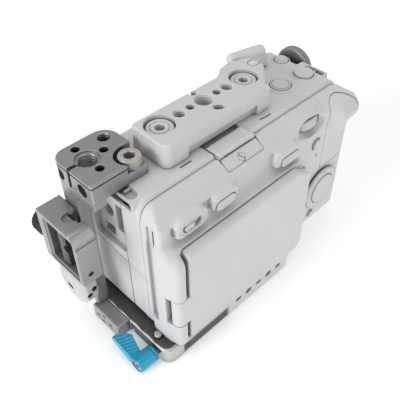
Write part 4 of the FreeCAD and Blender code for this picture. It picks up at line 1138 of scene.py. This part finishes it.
def clamp_field(x, y, z):
    prof = poly2(y, z, [(-10.5, 54), (20.7, 54), (20.7, 87), (-6.5, 87), (-10.5, 82.5)], 0.0)
    prof = smax(prof, smax(rect2(y, z, -10.5, 54, 20.7, 87, 0.0),
                           (-(y + 8.5) * 0.75 + (z - 84.75) * 0.66), 1.6), 0.4)
    f = smax(prof, np.maximum(-93.6 - x, x + 79.5), 0.7)
    f = less(f, rbox(x, y, z, (-81.6, -30, 40), (-60, 4.4, 100), 0.6), 0.4)
    # window right through, with a step round its mouth
    f = less(f, extr(rect2(y, z, -7.4, 57.0, 14.5, 83.6, 1.0), x, -110, -60), 0.5)
    f = less(f, extr(rect2(y, z, -8.4, 55.9, 15.6, 84.6, 1.6), x, -110, -92.7), 0.3)
    # round-ended relief in the top and the notch that opens into the window
    f = less(f, extr(rect2(x, y, -89.0, 0.6, -70.0, 7.6, 3.4), z, 85.6, 95), 0.3)
    f = less(f, extr(rect2(x, y, -84.5, -2.0, -79.4, 8.0, 0.6), z, 83.0, 95), 0.2)
    # groove below the rear bevel
    f = less(f, smax(abs(z - 80.6) - 0.9, y + 9.7), 0.5)
    f = less(f, smax(disc2(x, z, -86.5, 70.5, 2.05), 14.0 - y), 0.1)
    # a set-screw hole in the rear face
    for cx, cz in ((-88.0, 59.6),):
        f = less(f, smax(disc2(x, z, cx, cz, 1.5), y + 9.0), 0.15)
    return f


stand_for(solid("clamp_frame_v", clamp_field, (-94.1, -11, 53.5), (-79, 21.2, 87.5), 0.42,
                24000), "clamp_frame")


def jaw_field(x, y, z):
    f = rbox(x, y, z, (-91.6, 2.0, 58.0), (-81.8, 8.0, 82.6), 0.5)
    f = less(f, smax(disc2(y, z, 2.0, 70.0, 2.6), 0 * x - 1), 0.3)
    teeth = 0.32 * (1 - abs(2 * ((z / 2.2) % 1) - 1))
    f = np.where(y < 4.0, f + teeth * (abs(z - 70) > 4.0), f)
    f = less(f, smax(disc2(x, z, -86.5, 70.5, 1.9), 7.0 - y), 0.2)
    return f


stand_for(solid("clamp_jaw_v", jaw_field, (-92, 1.6, 57.6), (-81.4, 8.4, 83), 0.36, 9000),
          "clamp_jaw", slot_name="rig_dark")


def knurl_knob(u, v, w, w0, w1, r, teeth, depth):
    rr = np.hypot(u, v)
    a = np.arctan2(v, u)
    wave = depth * np.maximum(np.cos(a * teeth), -0.35)
    edge = ramp01(np.minimum(w - w0, w1 - w), 0.3, 1.1)
    return cham(rr - r + depth * 0.5 - wave * edge * 0.5, w, w0, w1, 0.6, 0.6)


def clamp_knob_field(x, y, z):
    u, v = x + 86.5, z - 70.5
    f = knurl_knob(u, v, y, 21.3, 29.3, 7.9, 26, 0.7)
    f = less(f, smax(np.hypot(u, v) - 5.2, 28.7 - y), 0.3)
    f = less(f, smax(hexagon(u, v, 0, 0, 2.2), 26.0 - y), 0.15)
    sh = np.hypot(u, v) - 1.98 + 0.16 * (0.5 - 0.5 * np.cos(2 * np.pi * (
        y / 1.0 - np.arctan2(v, u) / (2 * np.pi))))
    return np.minimum(f, np.maximum(sh, np.maximum(8.1 - y, y - 22.0)))


stand_for(solid("clamp_knob_v", clamp_knob_field, (-94.8, 7.8, 62.2), (-78.2, 29.6, 78.8), 0.36,
                24000), "clamp_knob")


def bracket_field(x, y, z):
    d2 = smin(disc2(y, z, 14.0, 29.0, 13.0), rect2(y, z, 2.0, 24.0, 14.0, 41.6, 1.0), 1.0)
    f = extr(d2, x, -87.6, -79.5, 1.5)
    f = less(f, extr(rect2(y, z, 15.0, 22.4, 20.5, 25.6, 1.6), x, -90, -83.0), 0.4)
    for cx, cz in ((-85.2, 28.4), (-82.0, 31.2)):
        f = less(f, smax(disc2(x, z, cx, cz, 1.7), y - 7.0), 0.3)
    return f


stand_for(solid("lower_bracket_v", bracket_field, (-88, 0.6, 15.6), (-79, 27.4, 42.4), 0.42,
                14000), "lower_bracket")


def lower_block_field(x, y, z):
    f = rbox(x, y, z, (-82.0, -15.0, 0.6), (-74.0, 8.0, 11.0), 0.9)
    # four screw holes, countersunk at the outer face
    for cy, cz in ((3.4, 5.0), (-2.2, 8.2), (-0.4, 2.6), (-7.5, 5.0)):
        g = smax(disc2(y, z, cy, cz, 1.25), x + 79.8)
        f = less(f, np.minimum(g, disc2(y, z, cy, cz, 1.5) + (x + 82.0)), 0.1)
    return f


stand_for(solid("lower_block_v", lower_block_field, (-82.4, -15.4, 0.2), (-73.6, 8.4, 11.4),
                0.3, 12000), "lower_block", slot_name="rig_grey")


def block_screws_field(x, y, z):
    f = None
    for cy, cz in ((3.4, 5.0), (-2.2, 8.2), (-0.4, 2.6), (-7.5, 5.0)):
        r = np.hypot(y - cy, z - cz)
        s = cham(r - 1.15, x, -81.4, -79.8, 0.25, 0)
        s = less(s, smax(hexagon(y, z, cy, cz, 0.52), x + 80.6), 0.05)
        f = s if f is None else np.minimum(f, s)
    return f


stand_for(solid("lower_block_screws_v", block_screws_field, (-81.8, -9, 1), (-79.5, 5, 10),
                0.15, 6000), "lower_block_screws", slot_name="knob_black")


def side_screws_field(x, y, z):
    f = None
    for cy, cz, x0, x1, r in ((15.0, 103.9, -78.0, -75.0, 3.0), (-2.4, 103.9, -78.0, -75.0, 3.0),
                              (10.5, 48.0, -80.7, -79.5, 2.2)):
        rr = np.hypot(y - cy, z - cz)
        s = cham(rr - r, x, x0, x1, 0.35, 0)
        s = less(s, smax(hexagon(y, z, cy, cz, r * 0.45), x - x0 - 0.8), 0.05)
        f = s if f is None else np.minimum(f, s)
    return f


stand_for(solid("side_screws_v", side_screws_field, (-81.2, -6, 45), (-74.6, 18.6, 107.4), 0.3,
                6000), "side_screws", slot_name="knob_black")

# ------------------------------------------------------------ base
FLOOR_CUT = [(-27.0, -60.0), (60.0, -60.0), (60.0, -36.0), (46.1, -36.0), (38.0, -38.0),
             (32.5, -42.0), (-27.0, -42.0)]


def base_field(x, y, z):
    d2 = corner_rect(x, y, -74, -47, 46, 20, (6, 5, 5, 6))
    floor_ = np.maximum(d2, -poly2(x, y, FLOOR_CUT, 0.0))
    f = cham(floor_, z, 0.0, 5.0, 0.4, 0.2)
    rim = np.maximum(d2, x + 27.0)
    f = np.minimum(f, cham(rim, z, 1.0, 11.0, 0.2, 0.8))
    f = less(f, rbox(x, y, z, (-90, -41.9, -0.1), (-60, -15.2, 9.6), 0.3), 0.2)
    f = less(f, smax(disc2(y, z, -37.0, 4.6, 2.55), np.maximum(x + 50, -61 - x)), 0.1)
    for cx, r in ((0, 3.15), (20, 3.0), (-20, 3.0)):
        f = less(f, disc2(x, y, cx, 0, r), 0.3)
    # sunk bed for the rubber lining
    bed = bed_outline(x, y)
    f = less(f, smax(bed, 10.2 - z), 0.25)
    # recess in the rear face for its dark strip
    return less(f, rbox(x, y, z, (-62, -60, 1.2), (-27.6, -46.5, 8.0), 0.3), 0.15)


def bed_outline(x, y):
    """Lining bed on the left of the base, with a slightly wavy outer edge."""
    wave = 0.25 * np.sin((y + 7.0) * 2 * np.pi / 10.5)
    d = corner_rect(x + wave * (1 - ramp01(x, -72, -62)), y, -73.0, -44.4, -29.0, 17.5,
                    (4.5, 1, 1, 3))
    return d


def lining_field(x, y, z):
    f = extr(bed_outline(x, y) + 0.12, z, 10.2, 10.95, 0.2)
    f = less(f, disc2(x, y, -69.2, -34.0, 2.4), 0.1)
    return f + 0.07 * np.maximum(np.cos((x + y) * 2.6), 0) * (z > 10.8)


def strip_field(x, y, z):
    f = rbox(x, y, z, (-61.8, -47.0, 1.4), (-27.8, -46.4, 7.8), 0.2)
    return less(f, smax(abs(abs(x + 44.8) - 14.6) - 0.35, y + 46.8), 0.05)


stand_for(solid("base_plate_v", base_field, (-75, -47.5, -0.4), (46.5, 20.5, 11.4), 0.5,
                40000), "base_plate", slot_name="rig_light")
extra(solid("base_lining_v", lining_field, (-73, -44, 9.9), (-28, 18.5, 11.3), 0.42, 14000),
      "camera_rig", "rig_dark")
extra(solid("base_strip_v", strip_field, (-62.4, -47.5, 1), (-27.2, -46, 8.2), 0.3, 3000),
      "camera_rig", "rig_dark")


def camera_plate_field(x, y, z):
    d2 = rect2(x, y, -26.7, -47, 46, 20, 0.0)
    d2 = smax(d2, corner_rect(x, y, -60, -47, 46, 20, (0, 5, 5, 0)), 0.1)
    cutp = poly2(x, y, [(24.0, -60), (60, -60), (60, -36), (46.1, -36.0), (38.0, -38.5),
                        (30.0, -43.5), (24.0, -47.1)], 0.0)
    d2 = smax(d2, -cutp, 1.0)
    f = cham(d2, z, 5.0, 11.0, 0.0, 0.7)
    skirt = poly2(x, y, [(-26.7, -47.0), (24.0, -47.0), (32.0, -42.2), (-26.7, -42.2)], 0.0)
    f = smin(f, cham(skirt, z, 0.6, 6.0, 0.5, 0.0), 0.3)
    for k, cx in enumerate((-18.6, -9.8, -1.0, 7.8, 16.7)):
        r = (1.3, 1.7)[k % 2]
        g = smax(pill2(x, z, cx - 0.9, 7.6, cx + 0.9, 7.6, r), y + 42.0)
        f = less(f, g, 0.3)
    f = less(f, disc2(x, y, 0, 0, 3.15), 0.3)
    return less(f, disc2(x, y, 20, 0, 3.0), 0.3)


stand_for(solid("camera_plate_v", camera_plate_field, (-27.2, -47.5, 0.2), (46.5, 20.5, 11.4),
                0.5, 24000), "camera_plate")


def pin_field(x, y, z):
    r = np.hypot(x + 69.2, y + 34.0)
    return smax(extr(r - 2.15, z, 11.0, 13.0, 0.6), np.sqrt(r ** 2 + (z - 7.5) ** 2) - 5.5, 0.2)


stand_for(solid("locating_pin_v", pin_field, (-71.8, -36.6, 10.7), (-66.6, -31.4, 13.3), 0.25,
                4000), "locating_pin")


# ------------------------------------------------------------ lever
def lever_field(x, y, z):
    hub = disc2(y, z, -37.0, 4.6, 4.35)
    f = cham(hub, x, -87.6, -75.0, 0.5, 0.5)
    arm = poly2(y, z, [(-37.0, 1.4), (-31.0, 2.4), (-24.0, 4.5), (-17.0, 7.2), (-16.2, 8.8),
                       (-17.6, 9.8), (-24.0, 8.3), (-31.0, 6.9), (-37.0, 8.2)], 0.35)
    g = smax(arm, np.maximum(-87.6 - x, x + 75.0), 0.8)
    trim = poly2(x, y, [(-84.4, -12.0), (-84.4, -15.6), (-77.9, -21.9), (-80.8, -32.4),
                        (-70.0, -32.4), (-70.0, -12.0)], 0.0)
    g = less(g, trim, 0.9)
    # ribs of the thumb pad
    along = y + 0.35 * (x + 82)
    side = np.maximum(np.maximum(-87.6 - x, x + 75.0), -trim)
    rib = 0.55 * (0.5 - 0.5 * np.cos(along * 2 * np.pi / 2.0)) * ramp01(y, -30.5, -29.0)
    g = g + rib * ramp01(-side, 0.5, 1.3) * ramp01(z - 2.4 - 0.33 * (y + 31), 1.0, 2.4) \
        * ramp01(-y, 16.6, 17.8)
    f = smin(f, g, 0.8)
    f = less(f, disc2(y, z, -37.0, 4.6, 2.5))
    f = less(f, smax(disc2(y, z, -37.0, 4.6, 3.4), x + 86.2), 0.15)
    # turned groove in the hub
    return less(f, smax(-(hub + 0.35), abs(x + 77.2) - 0.35), 0.1)


stand_for(solid("release_lever_v", lever_field, (-88, -41.8, 0), (-74.6, -15.4, 10.6), 0.3,
                26000), "release_lever")


def shaft_field(x, y, z):
    r = np.hypot(y + 37.0, z - 4.6)
    f = cham(r - 2.45, x, -87.0, -50.6, 0.2, 0.4)
    f = smin(f, cham(r - 3.3, x, -87.2, -86.3, 0.3, 0.1), 0.1)
    return less(f, smax(hexagon(y, z, -37.0, 4.6, 1.3), x + 86.0), 0.05)


stand_for(solid("lever_shaft_v", shaft_field, (-87.5, -40.6, 1), (-50.2, -33.4, 8.2), 0.3,
                8000), "lever_shaft")


# ------------------------------------------------------------ side knob
def side_knob_field(x, y, z):
    u, v = y - 10.0, z - 91.5
    f = knurl_knob(u, v, x, 86.8, 92.4, 12.4, 40, 0.9)
    f = less(f, smax(np.hypot(u, v) - 9.2, 91.6 - x), 0.4)
    f = less(f, smax(abs(np.hypot(u, v) - 6.0) - 0.3, 91.2 - x), 0.1)
    return less(f, np.hypot(u, v) - 2.55, 0.1)


stand_for(solid("side_knob_v", side_knob_field, (86.4, -2.8, 78.7), (92.8, 22.8, 104.3), 0.34,
                36000), "side_knob")

# ------------------------------------------------------------ front, right side and underside
def grip_field(x, y, z):
    d2 = corner_rect(x, y, 50, 10, 86, 46, (0, 0, 12.0, 12.5))
    f = smax(d2, z - 84.0, 6.5)
    f = smax(f, 11.0 - z, 1.2)
    f = smax(f, (y - 46.0) * 0.55 + (z - 84.0) * 0.835 + 5.2, 5.0)
    # hollow for the middle finger on the inner side
    f = f + 1.1 * bell(z - 62.0, 9.0) * ramp01(y, 28, 38)
    f = smax(f, 24.0 - y, 0.0)
    cover = np.maximum(poly2(x, y, [(54.0, 10.0), (82.0, 10.0), (82.0, 36.0), (77.0, 42.0),
                                    (59.0, 42.0), (54.0, 36.0)], 0.0), z - 80.0)
    f = less(f, cover, 0.3)
    # rubber skin: a border line and a fine diamond pattern inside it
    rim = np.maximum(abs(z - 45.0) - 27.5, 28.5 - y)
    around = np.where(abs(x - 68) > 14.5, y, 80 - y)
    f = groove(f, rim, 0.6, 0.45)
    a, b = (x + y) * 0.9 + z, (x + y) * 0.9 - z
    pat = 0.13 * (np.cos(a * 2 * np.pi / 3.0) + np.cos(b * 2 * np.pi / 3.0))
    return f + np.where(f > -1.0, pat * ramp01(-rim, 0.6, 1.4), 0) + 0 * around


stand_for(solid("grip_shell_v", grip_field, (49.5, 23.5, 10.5), (86.6, 46.6, 84.6), 0.5, 60000),
          "grip_shell")


def mount_field(x, y, z):
    u, v = x, z - 53.0
    r = np.hypot(u, v)
    a = np.arctan2(v, u)
    f = cham(np.maximum(r - 29.0, 23.0 - r), y, 24.0, 27.0, 0.0, 0.5)
    f = less(f, smax(abs(r - 28.0) - 0.22, 26.7 - y), 0.08)
    # three bayonet claws reaching into the throat
    third = ((a + np.pi / 6) % (2 * np.pi / 3)) - np.pi / 3
    claw = np.maximum(np.maximum(r - 23.6, 21.3 - r), abs(third) * 22.0 - 9.5)
    f = smin(f, extr(claw, y, 24.4, 25.8, 0.25), 0.2)
    for k in range(4):
        b = np.pi / 4 + k * np.pi / 2
        c = np.hypot(u - 26.2 * np.cos(b), v - 26.2 * np.sin(b))
        f = less(f, np.minimum(c - 1.02, np.maximum(c - 1.7, 26.4 - y)), 0.1)
    # index dimple and the hole of the locking pin
    f = less(f, np.sqrt((u + 15.0) ** 2 + (y - 27.4) ** 2 + (v - 21.0) ** 2) - 0.9, 0.1)
    return less(f, smax(np.hypot(u + 25.6, v + 4.0) - 1.1, 25.0 - y), 0.1)


stand_for(solid("lens_mount_ring_v", mount_field, (-29.5, 23.6, 23.5), (29.5, 27.4, 82.5), 0.4,
                44000), "lens_mount_ring")


def mount_screw_field(x, y, z):
    f = None
    for k in range(4):
        b = np.pi / 4 + k * np.pi / 2
        cx, cz = 26.2 * np.cos(b), 53.0 + 26.2 * np.sin(b)
        c = np.hypot(x - cx, z - cz)
        s = np.minimum(cham(c - 0.98, y, 24.0, 26.9, 0, 0), cham(c - 1.6, y, 26.45, 26.9, 0, 0.15))
        cross = np.minimum(np.maximum(abs(x - cx) - 0.2, abs(z - cz) - 0.95),
                           np.maximum(abs(z - cz) - 0.2, abs(x - cx) - 0.95))
        s = less(s, smax(cross, 26.6 - y), 0.03)
        f = s if f is None else np.minimum(f, s)
    return f


stand_for(solid("mount_screws_v", mount_screw_field, (-20.6, 23.8, 32.4), (20.6, 27.2, 73.6),
                0.2, 8000), "mount_screws")


def release_field(x, y, z):
    r = np.hypot(x + 36, z - 44)
    f = extr(r - 3.95, y, 20.0, 27.9, 0.9)
    return less(f, np.sqrt(r ** 2 + (y - 37.2) ** 2) - 9.6, 0.3)


stand_for(solid("lens_release_button_v", release_field, (-40.3, 19.7, 39.7), (-31.7, 28.2, 48.3),
                0.28, 7000), "lens_release_button")


def contacts_field(x, y, z):
    f = None
    for k in range(10):
        b = np.radians(-118 + k * 6.2)
        c = np.sqrt((x - 21.9 * np.cos(b)) ** 2 + (z - 53 - 21.9 * np.sin(b)) ** 2)
        s = extr(c - 0.55, y, 16.4, 21.4, 0.3)
        f = s if f is None else np.minimum(f, s)
    r, a = np.hypot(x, z - 53.0), np.arctan2(z - 53.0, x)
    hold = extr(np.maximum(np.maximum(r - 22.8, 20.9 - r), abs(a + 1.57) * 22 - 12.5), y,
                15.2, 20.8, 0.3)
    return np.minimum(f, hold)


extra(solid("lens_contacts_v", contacts_field, (-14, 14.8, 28.8), (14, 21.8, 36.4), 0.25, 14000),
      "camera_rig", "inner_dark")


def module_field(x, y, z):
    f = rbox(x, y, z, (-26, 0, 34), (26, 6.0, 72), 1.2)
    f = less(f, rbox(x, y, z, (-20.5, 5.1, 38.6), (20.5, 9, 67.4), 0.6), 0.3)
    for sx in (-1, 1):
        for cz in (37.2, 68.8):
            c = np.hypot(x - 23.2 * sx, z - cz)
            f = less(f, smax(abs(c - 1.5) - 0.2, 5.6 - y), 0.05)
            f = less(f, smax(np.maximum(abs(x - 23.2 * sx) - 0.22, c - 1.1), 5.5 - y), 0.05)
    return f


stand_for(solid("sensor_module_v", module_field, (-26.4, -0.4, 33.6), (26.4, 6.4, 72.4), 0.5,
                9000), "sensor_module")


def card_door_field(x, y, z):
    f = extr(corner_rect(y, z, -19.6, 30.5, 9.6, 75.5, (3, 3, 3, 3)), x, 86.4, 88.4, 0.7)
    kn = np.hypot(x - 87.6, y - 9.9) - 1.0
    f = smin(f, np.maximum(kn, np.maximum(34 - z, z - 72)), 0.5)
    f = less(f, np.sqrt(((y + 17.6) / 2.6) ** 2 + ((z - 53) / 6.0) ** 2
                        + ((x - 88.9) / 1.2) ** 2) * 1.2 - 1.2, 0.4)
    f = less(f, smax(abs(corner_rect(y, z, -16.0, 34.0, 6.0, 72.0, (2, 2, 2, 2))) - 0.2,
                     88.05 - x), 0.08)
    for k in range(4):
        f = less(f, smax(abs(y + 12.6 - 1.2 * k) - 0.25, np.maximum(abs(z - 53) - 4, 88.1 - x)),
                 0.08)
    return f


stand_for(solid("card_door_v", card_door_field, (86.0, -20, 30), (89.0, 11.4, 76), 0.36, 22000),
          "card_door")


def battery_door_field(x, y, z):
    f = extr(corner_rect(x, y, 55, 25, 81, 41, (2, 2, 1.5, 1.5)), z, 8.1, 10.7, 0.6)
    f = smin(f, np.maximum(np.hypot(y - 41.0, z - 9.4) - 1.25, abs(x - 68) - 11.5), 0.3)
    f = less(f, smax(abs(corner_rect(x, y, 60, 27.0, 70, 31.0, (1, 1, 1, 1))) - 0.25, z - 8.5),
             0.1)
    for k in range(5):
        f = less(f, smax(abs(x - 62.6 - 1.2 * k) - 0.25, np.maximum(abs(y - 29) - 1.3, z - 8.4)),
                 0.08)
    return f


stand_for(solid("battery_door_v", battery_door_field, (54.6, 24.6, 7.8), (81.4, 42.6, 11), 0.34,
                16000), "battery_door")


# ------------------------------------------------------------ floor
fme = bpy.data.meshes.new("floor")
fbm = bmesh.new()
bmesh.ops.create_grid(fbm, x_segments=24, y_segments=24, size=3.0)
fbm.to_mesh(fme)
fbm.free()
floor = bpy.data.objects.new("floor", fme)
floor.location = (0, 0, -0.0002)
scene.collection.objects.link(floor)
fm, fnt, fb = new_mat("floor_paper")
fv = coords(fnt)
link(fnt, tint(fnt, ramp(fnt, noise(fnt, fv, 3.0), [(0.3, 0.0), (0.7, 1.0)]),
               (0.93, 0.93, 0.93), (0.95, 0.95, 0.95)), fb.inputs["Base Color"])
fb.inputs["Roughness"].default_value = 0.9
fb.inputs["Emission Color"].default_value = (1, 1, 1, 1)
fb.inputs["Emission Strength"].default_value = 0.32
floor.data.materials.append(fm)
